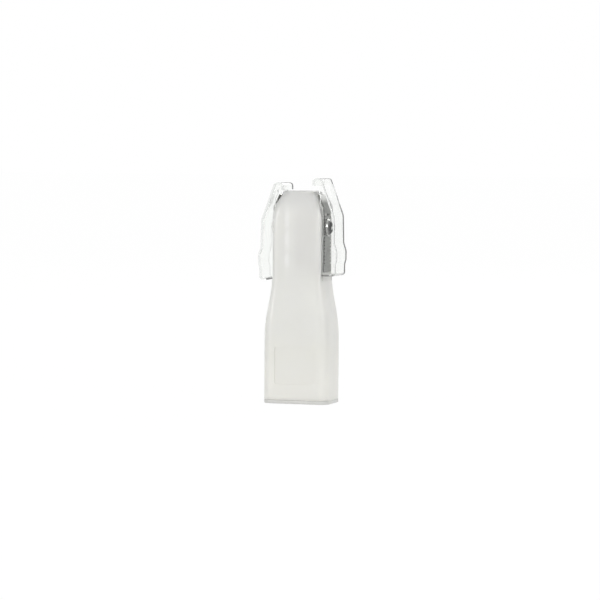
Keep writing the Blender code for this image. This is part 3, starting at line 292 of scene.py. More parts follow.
def buildStretchMask():  # fades in along one object axis, where asked on the outer faces only
    inputs = [
        ("X Share", 0, 0, 1), ("Z Share", 0, 0, 1), ("From", 0, -1, 1), ("To", 0.01, -1, 1),
        ("Outer Face Only", 0, 0, 1),
    ]
    group, start, end = newGroup("stretchMask", inputs, ["Mask"])
    links = group.links
    coords = group.nodes.new("ShaderNodeTexCoord")
    coords.location = (-1400, 300)
    place, facing = group.nodes.new("ShaderNodeSeparateXYZ"), group.nodes.new("ShaderNodeSeparateXYZ")
    place.location, facing.location = (-1000, 300), (-1000, -200)
    links.new(coords.outputs["Object"], place.inputs[0])
    links.new(coords.outputs["Normal"], facing.inputs[0])
    alongX = mathNode(group, -800, 400, "MULTIPLY", place.outputs["X"], start.outputs["X Share"])
    alongZ = mathNode(group, -800, 200, "MULTIPLY", place.outputs["Z"], start.outputs["Z Share"])
    along = mathNode(group, -400, 300, "ABSOLUTE", mathNode(group, -600, 300, "ADD", alongX, alongZ))
    fade = fadeNode(group, -200, 300, along, 0.0, 1.0)
    links.new(start.outputs["From"], fade.node.inputs["From Min"])
    links.new(start.outputs["To"], fade.node.inputs["From Max"])
    sideways = mathNode(group, -800, -200, "ABSOLUTE", facing.outputs["Y"])
    edgeOn = fadeNode(group, -600, -200, sideways, 0.3, 0.6)
    leftOut = mathNode(group, -400, -200, "MULTIPLY", edgeOn, start.outputs["Outer Face Only"])
    kept = mathNode(group, -200, -200, "SUBTRACT", 1.0, leftOut)
    links.new(mathNode(group, 200, 100, "MULTIPLY", fade, kept), end.inputs["Mask"])
    return group


skinGroup = buildMouldedSkin()
metalGroup = buildGroundMetal()
stretchGroup = buildStretchMask()


def startMaterial(name):
    material = bpy.data.materials.new(name)
    material.use_nodes = True
    tree = material.node_tree
    shader = tree.nodes["Principled BSDF"]
    shader.location = (300, 0)
    return material, tree, shader


def colourBlend(tree, x, y, factor, first, second):
    node = tree.nodes.new("ShaderNodeMix")
    node.location = (x, y)
    node.data_type = "RGBA"
    slots = [s for s in node.inputs if s.type == "RGBA"]
    for socket, value in zip(slots, (first, second)):
        if isinstance(value, tuple):
            socket.default_value = (*value, 1.0)
        else:
            tree.links.new(value, socket)
    if isinstance(factor, (int, float)):
        node.inputs["Factor"].default_value = factor
    else:
        tree.links.new(factor, node.inputs["Factor"])
    return [s for s in node.outputs if s.type == "RGBA"][0]


def setColour(tree, shader, output):
    tree.links.new(output, shader.inputs["Base Color"])


def bumpFrom(tree, shader, height, distance, strength):
    bump = tree.nodes.new("ShaderNodeBump")
    bump.location = (80, -420)
    bump.inputs["Strength"].default_value = strength
    bump.inputs["Distance"].default_value = distance
    tree.links.new(height, bump.inputs["Height"])
    tree.links.new(bump.outputs["Normal"], shader.inputs["Normal"])


def placeGroup(tree, group, x, y, values):
    node = tree.nodes.new("ShaderNodeGroup")
    node.node_tree = group
    node.location = (x, y)
    for key, value in values.items():
        node.inputs[key].default_value = value
    return node


def shadeStretches(tree, shader, parts):  # other colours on stretches of the piece, mostly for painted shade, highlights and reflections
    for i, (colour, stretch) in enumerate(parts):
        plain = shader.inputs["Base Color"].links[0].from_socket
        mask = placeGroup(tree, stretchGroup, -400, 800 + 300 * i, stretch).outputs["Mask"]
        blend = colourBlend(tree, -60, 700 + 300 * i, mask, plain, colour)
        setColour(tree, shader, blend)


def roughFrom(tree, shader, look, source, worn, wornShare):  # rougher where the surface is worn
    even = rangeNode(tree, -300, -60, source, 0.0, 1.0, look["roughLow"], look["roughHigh"])
    wear = mathNode(tree, -200, -200, "MULTIPLY", worn, wornShare)
    tree.links.new(mathNode(tree, -60, -60, "ADD", even, wear), shader.inputs["Roughness"])


def plasticMaterial(name, look):
    material, tree, shader = startMaterial(name)
    skin = placeGroup(tree, skinGroup, -700, 0, look["skin"])
    colour = colourBlend(tree, -300, 200, skin.outputs["Cloud"], look["colour"], look["cloudColour"])
    colour = colourBlend(tree, -120, 200, skin.outputs["Scuff"], colour, look["scuffColour"])
    setColour(tree, shader, colour)
    roughFrom(tree, shader, look, skin.outputs["Flow"], skin.outputs["Scuff"], 0.25)
    shader.inputs["IOR"].default_value = look["ior"]
    shader.inputs["Subsurface Weight"].default_value = look["scatter"]
    shader.inputs["Subsurface Radius"].default_value = look["scatterRadius"]
    shader.inputs["Subsurface Scale"].default_value = look["scatterScale"]
    shader.inputs["Transmission Weight"].default_value = look["transmission"]
    shader.inputs["Coat Weight"].default_value = look["coat"]
    shader.inputs["Coat Roughness"].default_value = look["coatRough"]
    bumpFrom(tree, shader, skin.outputs["Height"], look["bumpDistance"], look["bumpStrength"])
    return material


def milkyMaterial(name, look):  # painted light and shade: a darker core stands for the inner parts shading the skin, paler bands for light through the walls of the blade pockets
    material = plasticMaterial(name, look)
    tree, bands = material.node_tree, look["bands"]
    shader = tree.nodes["Principled BSDF"]
    plain = shader.inputs["Base Color"].links[0].from_socket
    coords = tree.nodes.new("ShaderNodeTexCoord")
    coords.location = (-1500, 700)
    place = tree.nodes.new("ShaderNodeSeparateXYZ")
    place.location = (-1300, 700)
    tree.links.new(coords.outputs["Object"], place.inputs[0])
    lean = mathNode(tree, -1300, 900, "MULTIPLY", place.outputs["Y"], bands["lean"])
    leaning = mathNode(tree, -1200, 800, "ADD", place.outputs["X"], lean)
    aside = mathNode(tree, -1100, 800, "ABSOLUTE", leaning)
    up = place.outputs["Z"]
    aboveFoot = fadeNode(tree, -900, 500, up, bands["bottom"], bands["bottom"] + bands["fade"])
    belowTop = rangeNode(tree, -900, 300, up, bands["top"] - bands["fade"], bands["top"], 1.0, 0.0, True)
    tall = mathNode(tree, -700, 400, "MULTIPLY", aboveFoot, belowTop)
    # painted shade: a darker core where the inner parts would shade the skin
    inside = rangeNode(tree, -700, 600, aside, bands["coreHalf"], bands["wallFrom"], 1.0, 0.0, True)
    core = mathNode(tree, -500, 600, "MULTIPLY", inside, tall)
    coreShadeMask = mathNode(tree, -300, 600, "MULTIPLY", core, bands["coreShadeShare"])
    shade = colourBlend(tree, -100, 600, coreShadeMask, plain, bands["coreShadeColour"])
    # painted highlight: paler bands along the blade pockets' walls, broken up by noise
    rising = fadeNode(tree, -900, 900, aside, bands["wallFrom"], bands["wallCore"])
    falling = rangeNode(tree, -900, 700, aside, bands["wallEnd"], bands["wallFade"], 1.0, 0.0, True)
    wall = mathNode(tree, -500, 800, "MULTIPLY", mathNode(tree, -700, 800, "MULTIPLY", rising, falling), tall)
    streaks = noiseNode(tree, -900, 1150, coords.outputs["Object"], bands["streakScale"], 2.0, 0.5)
    broken = rangeNode(tree, -700, 1150, streaks.outputs["Fac"], 0.35, 0.65, bands["streakLow"], 1.0, True)
    brokenWall = mathNode(tree, -300, 800, "MULTIPLY", wall, broken)
    wallHighlightMask = mathNode(tree, -100, 800, "MULTIPLY", brokenWall, bands["wallHighlightShare"])
    setColour(tree, shader, colourBlend(tree, 100, 600, wallHighlightMask, shade, bands["wallHighlightColour"]))
    shadeStretches(tree, shader, look["stretches"])
    return material


def metalMaterial(name, look):
    material, tree, shader = startMaterial(name)
    metal = placeGroup(tree, metalGroup, -700, 0, look["metal"])
    colour = colourBlend(tree, -300, 200, metal.outputs["Lines"], look["colour"], look["lineColour"])
    stain = mathNode(tree, -260, 380, "MULTIPLY", metal.outputs["Stain"], look["stainAmount"])
    setColour(tree, shader, colourBlend(tree, -120, 200, stain, colour, look["stainColour"]))
    roughFrom(tree, shader, look, metal.outputs["Lines"], metal.outputs["Rub"], 0.08)
    shader.inputs["Metallic"].default_value = 1.0
    bumpFrom(tree, shader, metal.outputs["Height"], look["bumpDistance"], look["bumpStrength"])
    shadeStretches(tree, shader, look.get("stretches", ()))
    return material


# Each look: colours, then roughness and bump, then the values for the shared node group.
milkyLook = {
    "colour": (0.852, 0.852, 0.82), "cloudColour": (0.882, 0.882, 0.85), "scuffColour": (0.93, 0.93, 0.91),
    "stretches": [
        ((0.99, 0.98, 0.90), {"Z Share": 1, "From": 0.017, "To": 0.003}),  # paler and warmer towards the foot
        ((0.79, 0.79, 0.775), {"Z Share": 1, "From": 0.0405, "To": 0.0460}),  # painted shade, the crown darker against the light from above
    ],
    "roughLow": 0.32, "roughHigh": 0.42, "ior": 1.45, "scatter": 0.6, "scatterRadius": (1.0, 1.0, 0.95),
    "scatterScale": 0.0012, "transmission": 0.3, "coat": 0.2, "coatRough": 0.12,
    "bumpDistance": 0.00002, "bumpStrength": 0.2,
    "skin": {"Pebble Scale": 5200, "Flow Stretch": 8, "Cloud Scale": 150, "Scuff Amount": 0.0},
    "bands": {  # in metres from the middle plane and from the foot
        # the core colour is painted shade, the wall colour a painted highlight
        "wallFrom": 0.0033, "wallCore": 0.0040, "wallEnd": 0.0042, "wallFade": 0.0050, "coreHalf": 0.0012,
        "bottom": 0.0265, "top": 0.0465, "fade": 0.0055, "lean": 0.45,
        "streakScale": 430.0, "streakLow": 0.45, "coreShadeShare": 0.75, "wallHighlightShare": 0.9,
        "coreShadeColour": (0.80, 0.795, 0.775), "wallHighlightColour": (1.0, 1.0, 0.97),
    },
}
whiteLook = {
    "colour": (0.57, 0.57, 0.55), "cloudColour": (0.60, 0.60, 0.58), "scuffColour": (0.82, 0.82, 0.81),
    "roughLow": 0.34, "roughHigh": 0.46, "ior": 1.49, "scatter": 0.15, "scatterRadius": (1.0, 1.0, 0.9),
    "scatterScale": 0.0006, "transmission": 0.0, "coat": 0.1, "coatRough": 0.12,
    "bumpDistance": 0.00002, "bumpStrength": 0.25,
    "skin": {"Pebble Scale": 4600, "Flow Stretch": 4, "Cloud Scale": 220, "Scuff Amount": 0.4},
}
driveLook = {
    "colour": (0.70, 0.70, 0.67), "cloudColour": (0.75, 0.75, 0.72), "scuffColour": (0.82, 0.82, 0.80),
    "roughLow": 0.38, "roughHigh": 0.5, "ior": 1.48, "scatter": 0.2, "scatterRadius": (1.0, 0.95, 0.85),
    "scatterScale": 0.0005, "transmission": 0.0, "coat": 0.0, "coatRough": 0.12,
    "bumpDistance": 0.00002, "bumpStrength": 0.3,
    "skin": {"Pebble Scale": 5200, "Flow Stretch": 3, "Cloud Scale": 300, "Scuff Amount": 0.5},
}
bladeLook = {
    "colour": (0.115, 0.12, 0.11), "lineColour": (0.205, 0.21, 0.20), "stainColour": (0.08, 0.08, 0.07),
    "stainAmount": 0.6, "roughLow": 0.22, "roughHigh": 0.38, "bumpDistance": 0.00001, "bumpStrength": 0.6,
    "stretches": [  # painted reflection, the sloped tip drawn pale as if it mirrored the light from above
        ((0.62, 0.62, 0.61), {"Z Share": 1, "From": 0.0438, "To": 0.0452, "Outer Face Only": 1}),
    ],
    "metal": {"Line Scale": 9000, "Line Stretch": 40, "Across": 1, "Stain Scale": 380},
}
cutterLook = {
    "colour": (0.58, 0.58, 0.57), "lineColour": (0.68, 0.68, 0.67), "stainColour": (0.42, 0.41, 0.39),
    "stainAmount": 0.35, "roughLow": 0.16, "roughHigh": 0.28, "bumpDistance": 0.00001, "bumpStrength": 0.3,
    "metal": {"Line Scale": 9000, "Line Stretch": 30, "Across": 1, "Stain Scale": 420},
}
paleScrewLook = {
    "colour": (0.80, 0.80, 0.79), "lineColour": (0.88, 0.88, 0.87), "stainColour": (0.20, 0.20, 0.195),
    "stainAmount": 0.5, "roughLow": 0.07, "roughHigh": 0.13, "bumpDistance": 0.00001, "bumpStrength": 0.2,
    "metal": {"Line Scale": 4200, "Line Stretch": 6, "Across": 0, "Stain Scale": 700},
}
# the right screw: a darker copy of the pale look, a painted reflection of dark surroundings
darkReflectionScrewLook = {
    **paleScrewLook, "colour": (0.34, 0.34, 0.335), "lineColour": (0.44, 0.44, 0.43),
    "stretches": [((0.016, 0.016, 0.017), {"X Share": 1, "From": 0.00618, "To": 0.00672})],  # painted reflection, the far side of the dome drawn nearly black as if it mirrored dark surroundings
}
springLook = {
    "colour": (0.42, 0.42, 0.41), "lineColour": (0.52, 0.52, 0.50), "stainColour": (0.30, 0.28, 0.25),
    "stainAmount": 0.3, "roughLow": 0.22, "roughHigh": 0.34, "bumpDistance": 0.00001, "bumpStrength": 0.3,
    "metal": {"Line Scale": 6000, "Line Stretch": 25, "Across": 0, "Stain Scale": 500},
}
brassLook = {
    "colour": (0.60, 0.42, 0.16), "lineColour": (0.70, 0.52, 0.24), "stainColour": (0.38, 0.24, 0.09),
    "stainAmount": 0.5, "roughLow": 0.20, "roughHigh": 0.32, "bumpDistance": 0.00001, "bumpStrength": 0.35,
    "metal": {"Line Scale": 5200, "Line Stretch": 8, "Across": 1, "Stain Scale": 600},
}
clearLook = {
    "colour": (0.984, 0.99, 0.98), "rimShadeColour": (0.62, 0.66, 0.64), "rimBlend": 0.25, "rimFrom": 0.55,
    "depthColour": (0.86, 0.875, 0.86), "depthDensity": 120, "ior": 1.49,
    "roughLow": 0.015, "roughHigh": 0.05, "bumpDistance": 0.00001, "bumpStrength": 0.06,
    "skin": {"Pebble Scale": 2400, "Flow Stretch": 10, "Cloud Scale": 260, "Scuff Amount": 0.5},
}
# painted shade, a grey line along the right guard's foot
footShadeLine = ((0.40, 0.40, 0.39), {"Z Share": 1, "From": 0.02835, "To": 0.02825})
clearLooks = {  # the guards' outlines are painted shade, paler on the left guard; the right one's foot gets a painted grey line of shade
    "left": {**clearLook, "rimShadeColour": (0.85, 0.87, 0.86)},
    "right": {**clearLook, "stretches": [footShadeLine]},
}


def clearMaterial(name, look):
    material, tree, shader = startMaterial(name)
    skin = placeGroup(tree, skinGroup, -700, 0, look["skin"])
    # painted shade: the colour darkens towards the outline where the surface turns edge-on, in place of dark
    # refractions
    facing = socketNode(tree, "ShaderNodeLayerWeight", -520, 360, Blend=look["rimBlend"])
    rim = fadeNode(tree, -320, 360, facing.outputs["Facing"], look["rimFrom"], 1.0)
    setColour(tree, shader, colourBlend(tree, -120, 240, rim, look["colour"], look["rimShadeColour"]))
    roughFrom(tree, shader, look, skin.outputs["Flow"], skin.outputs["Scuff"], 0.2)
    shader.inputs["IOR"].default_value = look["ior"]
    shader.inputs["Transmission Weight"].default_value = 1.0
    tint = (*look["depthColour"], 1.0)
    depth = socketNode(tree, "ShaderNodeVolumeAbsorption", 80, -640, Color=tint, Density=look["depthDensity"])
    tree.links.new(depth.outputs[0], tree.nodes["Material Output"].inputs["Volume"])
    bumpFrom(tree, shader, skin.outputs["Height"], look["bumpDistance"], look["bumpStrength"])
    shadeStretches(tree, shader, look.get("stretches", ()))
    return material


milkyPlastic = milkyMaterial("milkyPlastic", milkyLook)
whitePlastic = plasticMaterial("whitePlastic", whiteLook)
drivePlastic = plasticMaterial("drivePlastic", driveLook)
bladeSteel = metalMaterial("bladeSteel", bladeLook)
cutterSteel = metalMaterial("cutterSteel", cutterLook)
# the right screw's steel is a painted dark reflection, the left one's stays pale
screwSteels = {
    "left": metalMaterial("leftScrewSteel", paleScrewLook),
    "right": metalMaterial("rightScrewDarkReflection", darkReflectionScrewLook),
}
springSteel = metalMaterial("springSteel", springLook)
turnedBrass = metalMaterial("turnedBrass", brassLook)
clearPlastics = {word: clearMaterial(f"{word}ClearPlastic", look) for word, look in clearLooks.items()}
print("stage: materials ready")


nodePaint = {
    "front_shell": milkyPlastic, "rear_shell": milkyPlastic,
    "mouth_ring": whitePlastic, "socket_liner": whitePlastic, "pivot_pin": cutterSteel,
    "front_pivot_washer": drivePlastic, "rear_pivot_washer": drivePlastic, "rocker": drivePlastic,
}
for word in ("left", "right"):
    nodePaint.update({
        f"{word}_comb_blade": bladeSteel, f"{word}_cutter": cutterSteel,
        f"{word}_cutter_carrier": drivePlastic, f"{word}_blade_spring": springSteel,
        f"{word}_blade_bush": turnedBrass, f"{word}_blade_screw": screwSteels[word],
        f"{word}_guard": clearPlastics[word],
    })
for nodeName, material in nodePaint.items():
    solidMaterials = nodes[nodeName].data.materials
    solidMaterials.clear()
    solidMaterials.append(material)
print("stage: solids painted")


softSettings = {
    "weld": 0.000001, "smoothAngle": 38, "bevelAngle": 40, "bevelSegments": 2,
    "edges": {  # rounding in millimetres
        "front_shell": 0.09, "rear_shell": 0.09, "socket_liner": 0.08, "rocker": 0.08, "pivot_pin": 0.06,
        "front_pivot_washer": 0.04, "rear_pivot_washer": 0.04,
    },
    "sideEdges": {  # pieces that are there on the left and on the right
        "comb_blade": 0.025, "cutter": 0.03, "cutter_carrier": 0.06, "blade_spring": 0.02, "blade_bush": 0.05,
    },
}


def buildSmoothShading(angle):  # shades the shallow edges smoothly and keeps the steep ones sharp
    group = bpy.data.node_groups.new("smoothShading", "GeometryNodeTree")
    for way in ("INPUT", "OUTPUT"):
        group.interface.new_socket("Geometry", in_out=way, socket_type="NodeSocketGeometry")
    start, end = group.nodes.new("NodeGroupInput"), group.nodes.new("NodeGroupOutput")
    bare = group.nodes.new("GeometryNodeRemoveAttribute")
    bare.inputs["Name"].default_value = "custom_normal"
    faces, edges = (group.nodes.new("GeometryNodeSetShadeSmooth") for _ in range(2))
    faces.domain, edges.domain = "FACE", "EDGE"
    faces.inputs["Shade Smooth"].default_value = True
    edges.inputs["Shade Smooth"].default_value = False
    bend = group.nodes.new("GeometryNodeInputMeshEdgeAngle")
    steep = group.nodes.new("FunctionNodeCompare")
    steep.operation = "GREATER_THAN"
    steep.inputs[1].default_value = math.radians(angle)
    group.links.new(bend.outputs["Unsigned Angle"], steep.inputs[0])
    group.links.new(steep.outputs[0], edges.inputs["Selection"])
    chain = (start, bare, faces, edges, end)
    for i in range(len(chain) - 1):
        group.links.new(chain[i].outputs[0], chain[i + 1].inputs[0])
        chain[i + 1].location = (220 * (i + 1), 0)
    return group


def soften(obj, width, settings, shading):  # modifiers only, the solid's own mesh stays as it is
    weld = obj.modifiers.new("weld", "WELD")
    weld.merge_threshold = settings["weld"]
    roundEdges(obj, width * mm, settings["bevelSegments"], settings["bevelAngle"])
    smooth = obj.modifiers.new("smoothShading", "NODES")
    smooth.node_group = shading
    even = obj.modifiers.new("evenNormals", "WEIGHTED_NORMAL")
    even.keep_sharp = True


smoothShading = buildSmoothShading(softSettings["smoothAngle"])
softEdges = dict(softSettings["edges"])
for word in ("left", "right"):
    softEdges.update({f"{word}_{piece}": width for piece, width in softSettings["sideEdges"].items()})
for nodeName, width in softEdges.items():
    soften(nodes[nodeName], width, softSettings, smoothShading)
print("stage: edges of the solids softened")


screwSettings = {  # millimetres, but the height in metres
    "height": 0.0386, "headBase": 5.78, "headRadius": 1.95, "rim": 0.25, "domeHeight": 1.3, "domeSteps": 12,
    "underside": [(0.12, 0.0), (0.03, 0.04), (0.0, 0.12)],  # (in from the head's radius, out from its base)
    "collar": [(0.03, -0.1), (0.01, 0.0)],  # (in from the shank's radius, out from the head's base)
    "shankRadius": 0.55, "shankLength": 2.6, "tipLength": 0.12, "tipTaper": 0.15,
    "threadPitch": 0.30, "threadDepth": 0.07, "crestInset": 0.005, "crest": (0.45, 0.55), "plainNeck": 0.25,
    "recessWidth": 0.42, "recessSpan": 1.9, "recessDepth": 0.7, "recessPast": 0.3, "recessFloorShare": 0.55,
    "crossReach": 0.52, "wallFacing": 0.45, "floorFrom": 0.9,  # shares that tell the cross from the dome
    "segments": 64, "edge": 0.03, "edgeSteps": 2, "edgeAngle": 35, "smoothAngle": 40,
}


def screwProfile(settings):  # (radius, distance out along the axis), from the shank's tip to the dome's top
    base, radius, rim, height = (settings[key] for key in ("headBase", "headRadius", "rim", "domeHeight"))
    shank, pitch = settings["shankRadius"], settings["threadPitch"]
    root, crest = shank - settings["threadDepth"], shank - settings["crestInset"]
    crestFrom, crestTo = (pitch * share for share in settings["crest"])
    tip = base - settings["shankLength"]
    along = tip + settings["tipLength"]
    points = [(0.0, tip), (shank - settings["tipTaper"], tip), (root, along)]
    while along + pitch < base - settings["plainNeck"]:
        points += [(crest, along + crestFrom), (crest, along + crestTo), (root, along + pitch)]
        along += pitch
    for widest, key in ((shank, "collar"), (radius, "underside")):
        points += [(widest - inwards, base + outwards) for inwards, outwards in settings[key]]
    points.append((radius, base + rim))
    rise = height - rim
    sphere = (radius * radius + rise * rise) / (2 * rise)  # one true sphere from the rim to the top
    rimAngle = math.asin(radius / sphere)
    for i in range(1, settings["domeSteps"] + 1):
        angle = rimAngle * (1 - i / settings["domeSteps"])
        points.append((sphere * math.sin(angle), base + rim + sphere * math.cos(angle) - (sphere - rise)))
    return points


def turnedX(profile, side, centreZ, segments):  # turns a profile round an axis along X
    bm = bmesh.new()
    turns = [2 * math.pi * k / segments for k in range(segments)]
    rings = []
    for radius, along in profile:
        x, reach = side * along * mm, radius * mm
        if radius < 1e-6:
            rings.append([bm.verts.new((x, 0, centreZ))])
            continue
        rings.append([bm.verts.new((x, reach * math.cos(t), centreZ + reach * math.sin(t))) for t in turns])
    for low, high in zip(rings, rings[1:]):
        if len(low) > 1 and len(high) > 1:
            closeRings(bm, low, high)
            continue
        for k in range(segments):
            j = (k + 1) % segments
            bm.faces.new((low[0], high[k], high[j]) if len(low) == 1 else (low[k], low[j], high[0]))
    return bm


def crossRecess(settings, side):  # the driver's cross, narrower at its floor
    headTop = settings["headBase"] + settings["domeHeight"]
    halfWidth, halfSpan = settings["recessWidth"] / 2, settings["recessSpan"] / 2
    floorSpan = halfSpan * settings["recessFloorShare"]
    levels = ((headTop - settings["recessDepth"], floorSpan), (headTop + settings["recessPast"], halfSpan))
    tools = []
    for turned in (False, True):
        bm = bmesh.new()
        rings = []
        for along, span in levels:
            corners = [(-span, -halfWidth), (span, -halfWidth), (span, halfWidth), (-span, halfWidth)]
            if turned:
                corners = [(v, -u) for u, v in corners]
            x, z = side * along * mm, settings["height"]
            rings.append([bm.verts.new((x, u * mm, z + v * mm)) for u, v in corners])
        closeRings(bm, *rings)
        bm.faces.new(list(reversed(rings[0])))
        bm.faces.new(rings[1])
        tools.append(bm)
    return tools


def buildScrew(side, word, settings):
    bm = turnedX(screwProfile(settings), side, settings["height"], settings["segments"])
    screw = newObject(f"{word}ScrewFine", bm, screwSteels[word], settings["smoothAngle"])
    subtract(screw, crossRecess(settings, side))
    screw.data.materials.append(cutterSteel)
    base, depth, span = (settings[key] * mm for key in ("headBase", "recessDepth", "recessSpan"))
    headTop = (settings["headBase"] + settings["domeHeight"]) * mm
    for polygon in screw.data.polygons:  # the driver's cross and the shank are bare steel; on the dark right screw the lighter cross also stands in for a painted glint
        outward = polygon.center.x * side
        fromAxis = math.hypot(polygon.center.y, polygon.center.z - settings["height"])
        crossWall = abs(polygon.normal.x) < settings["wallFacing"] and outward > headTop - depth
        crossFloor = base < outward < headTop - depth * settings["floorFrom"]
        inCross = fromAxis < span * settings["crossReach"] and (crossWall or crossFloor)
        if inCross or outward < base - 1e-6:
            polygon.material_index = 1
    roundEdges(screw, settings["edge"] * mm, settings["edgeSteps"], settings["edgeAngle"])
    smoothFaces(screw.data, settings["smoothAngle"])
    handOver(screw, "housing", f"{word}_blade_screw")


for side, word in ((-1, "left"), (1, "right")):
    buildScrew(side, word, screwSettings)
print("stage: blade screws built")


guardSettings = {  # millimetres, (distance from the middle plane, height) of the right guard before its lift
    "innerEdge": 5.17, "foot": 27.0, "footReach": 8.77, "footRadius": 0.9, "footRun": 3.0,
    "gripFoot": (8.77, 29.5), "gripLow": (9.08, 30.6), "gripHigh": (9.08, 32.5), "lower": (8.52, 34.2),
    "gripRadius": 1.6, "knee": (8.38, 40.2), "kneeRadius": 1.6, "top": (5.42, 48.37), "topRadius": 0.95,
    "hookEnd": 3.35, "hookRadius": 1.0, "hookFoot": 46.72,
    "shoulder": [(4.62, 46.72), (4.62, 46.0), (5.17, 44.796)], "depth": 7.2, "sideWall": 0.5, "web": 0.46,
    "footLip": 1.5, "footLipEnd": 0.30, "rightLift": 1.0, "bendSteps": 8, "gripSteps": 5,
    "edge": 0.03, "edgeSteps": 3, "edgeAngle": 32, "smoothAngle": 35,
    "hollowPast": 1.0, "hollowInwards": 2.0, "hollowTop": 43.0,  # how far the hollow's cut runs
}


def guardOuterLine(settings):  # from the foot up the web, over the top and down the hook's end
    foot, hookFoot = settings["foot"], (settings["hookEnd"], settings["hookFoot"])
    fine, coarse = settings["bendSteps"], settings["gripSteps"]
    bends = [((settings["footReach"], foot), settings["footRadius"], fine)]  # corner, radius, steps
    for key in ("gripFoot", "gripLow", "gripHigh", "lower"):
        bends.append((settings[key], settings["gripRadius"], coarse))
    bends += [(settings[key], settings[f"{key}Radius"], fine) for key in ("knee", "top")]
    bends.append(((settings["hookEnd"], settings["top"][1]), settings["hookRadius"], fine))
    before = (settings["footReach"] - settings["footRun"], foot)
    stops = [before] + [corner for corner, _, _ in bends] + [hookFoot]
    line = [(settings["footReach"] - settings["footLip"], foot)]
    for i, (corner, radius, steps) in enumerate(bends):
        line += filletPoints(corner, stops[i], stops[i + 2], radius, steps)
    return line + [hookFoot]


def offsetLine(line, distance):  # moves each point of an open line to its left by the distance, mitred
    sharpest = 0.35  # a mitre is cut short beyond this
    result = []
    for i, point in enumerate(line):
        here = Vector(point)
        into = (here - Vector(line[i - 1])).normalized() if i else None
        out = (Vector(line[i + 1]) - here).normalized() if i + 1 < len(line) else None
        into, out = into or out, out or into
        normalIn, normalOut = Vector((-into.y, into.x)), Vector((-out.y, out.x))
        middle = (normalIn + normalOut).normalized()
        result.append(tuple(here + middle * (distance / max(sharpest, middle.dot(normalIn)))))
    return result


def buildGuard(side, word, lift, settings):
    def place(points):
        return [(side * x * mm, (z + lift) * mm) for x, z in points]

    outerLine = guardOuterLine(settings)
    outline = [(settings["innerEdge"], settings["foot"])] + outerLine + settings["shoulder"]
    half, smoothAngle = settings["depth"] / 2 * mm, settings["smoothAngle"]
    block = extrude(place(outline), -half, half)
    guard = newObject(f"{word}GuardClear", block, clearPlastics[word], smoothAngle)
    innerLine = offsetLine(outerLine, settings["web"])  # one even wall from the foot's lip to the hook's end
    innerLine[-1] = (innerLine[-1][0], settings["hookFoot"] - settings["hollowPast"])
    innerLine[0] = (innerLine[0][0], settings["foot"] + settings["footLipEnd"])
    below = settings["foot"] - settings["hollowPast"]
    inwards = settings["innerEdge"] - settings["hollowInwards"]
    hollow = [(innerLine[0][0], below)] + innerLine + [(inwards, settings["hollowTop"]), (inwards, below)]
    inner = half - settings["sideWall"] * mm
    subtract(guard, [extrude(place(hollow), -inner, inner)])
    roundEdges(guard, settings["edge"] * mm, settings["edgeSteps"], settings["edgeAngle"])
    smoothFaces(guard.data, smoothAngle)
    handOver(guard, f"{word}_guard", f"{word}_guard")


for side, word, lift in ((-1, "left", 0.0), (1, "right", guardSettings["rightLift"])):
    buildGuard(side, word, lift, guardSettings)
print("stage: clear guards built")


ringSettings = {  # millimetres
    "plateWidth": 15.0, "plateDepth": 10.4, "plateCorner": 2.2, "top": 0.80, "bevel": 0.15,
    "lipWidth": 12.76, "lipDepth": 8.16, "lipCorner": 1.3, "lipTop": 2.1, "lipBevel": 0.1,
    "holeWidth": 11.36, "holeDepth": 6.76, "holeCorner": 1.0, "mouthBevel": 0.22, "borePast": 1.0,
    "steps": 14, "bevelSteps": 6, "smoothAngle": 40,
}


def ringOutline(settings, kind, grow):  # the plate's, lip's or hole's outline, larger by grow on every side
    width, depth, corner = (settings[f"{kind}{key}"] for key in ("Width", "Depth", "Corner"))
    return roundedRing(width + 2 * grow, depth + 2 * grow, corner + grow, settings["steps"])


def ringStack(sections):  # closed skin through rings of equal point count, (height, points) in millimetres
    bm = bmesh.new()
    rings = [[bm.verts.new((x * mm, y * mm, z * mm)) for x, y in points] for z, points in sections]
    for low, high in zip(rings, rings[1:]):
        closeRings(bm, low, high)
    bm.faces.new(list(reversed(rings[0])))
    bm.faces.new(rings[-1])
    return bm


def buildMouthRing(settings):  # the plate with softly rounded edges, and the lip inside the housing
    top, lipTop, bevel, mouth = (settings[key] for key in ("top", "lipTop", "bevel", "mouthBevel"))
    past, bevelSteps, smoothAngle = (settings[key] for key in ("borePast", "bevelSteps", "smoothAngle"))
    turns = [math.radians(90 * i / bevelSteps) for i in range(bevelSteps + 1)]
    bends = [(1 - math.cos(t), 1 - math.sin(t)) for t in turns]  # shares of a bevel's width
    sections = [(bevel * rise, ringOutline(settings, "plate", -bevel * inset)) for rise, inset in bends]
    for rise, inset in bends:
        sections.append((top - bevel * inset, ringOutline(settings, "plate", -bevel * rise)))
    lip = ringOutline(settings, "lip", 0)
    sections += [(top, lip), (lipTop - settings["lipBevel"], lip)]
    sections.append((lipTop, ringOutline(settings, "lip", -settings["lipBevel"])))
    ring = newObject("mouthRingPlate", ringStack(sections), whitePlastic, smoothAngle)
    bore = [(-past, ringOutline(settings, "hole", mouth))]
    bore += [(mouth * rise, ringOutline(settings, "hole", mouth * inset)) for rise, inset in bends]
    bore.append((lipTop + past, ringOutline(settings, "hole", 0)))
    subtract(ring, [ringStack(bore)])
    smoothFaces(ring.data, smoothAngle)
    handOver(ring, "housing", "mouth_ring")


buildMouthRing(ringSettings)
print("stage: mouth ring built")


cameraSettings = {  # degrees and metres, the sensor in millimetres
    "azimuth": 18.0, "elevation": 3.0, "roll": 0.4, "distance": 0.62, "framedWidth": 0.132, "sensorWidth": 36,
    "aimAside": -0.00044, "aimHeight": 0.02255,
}


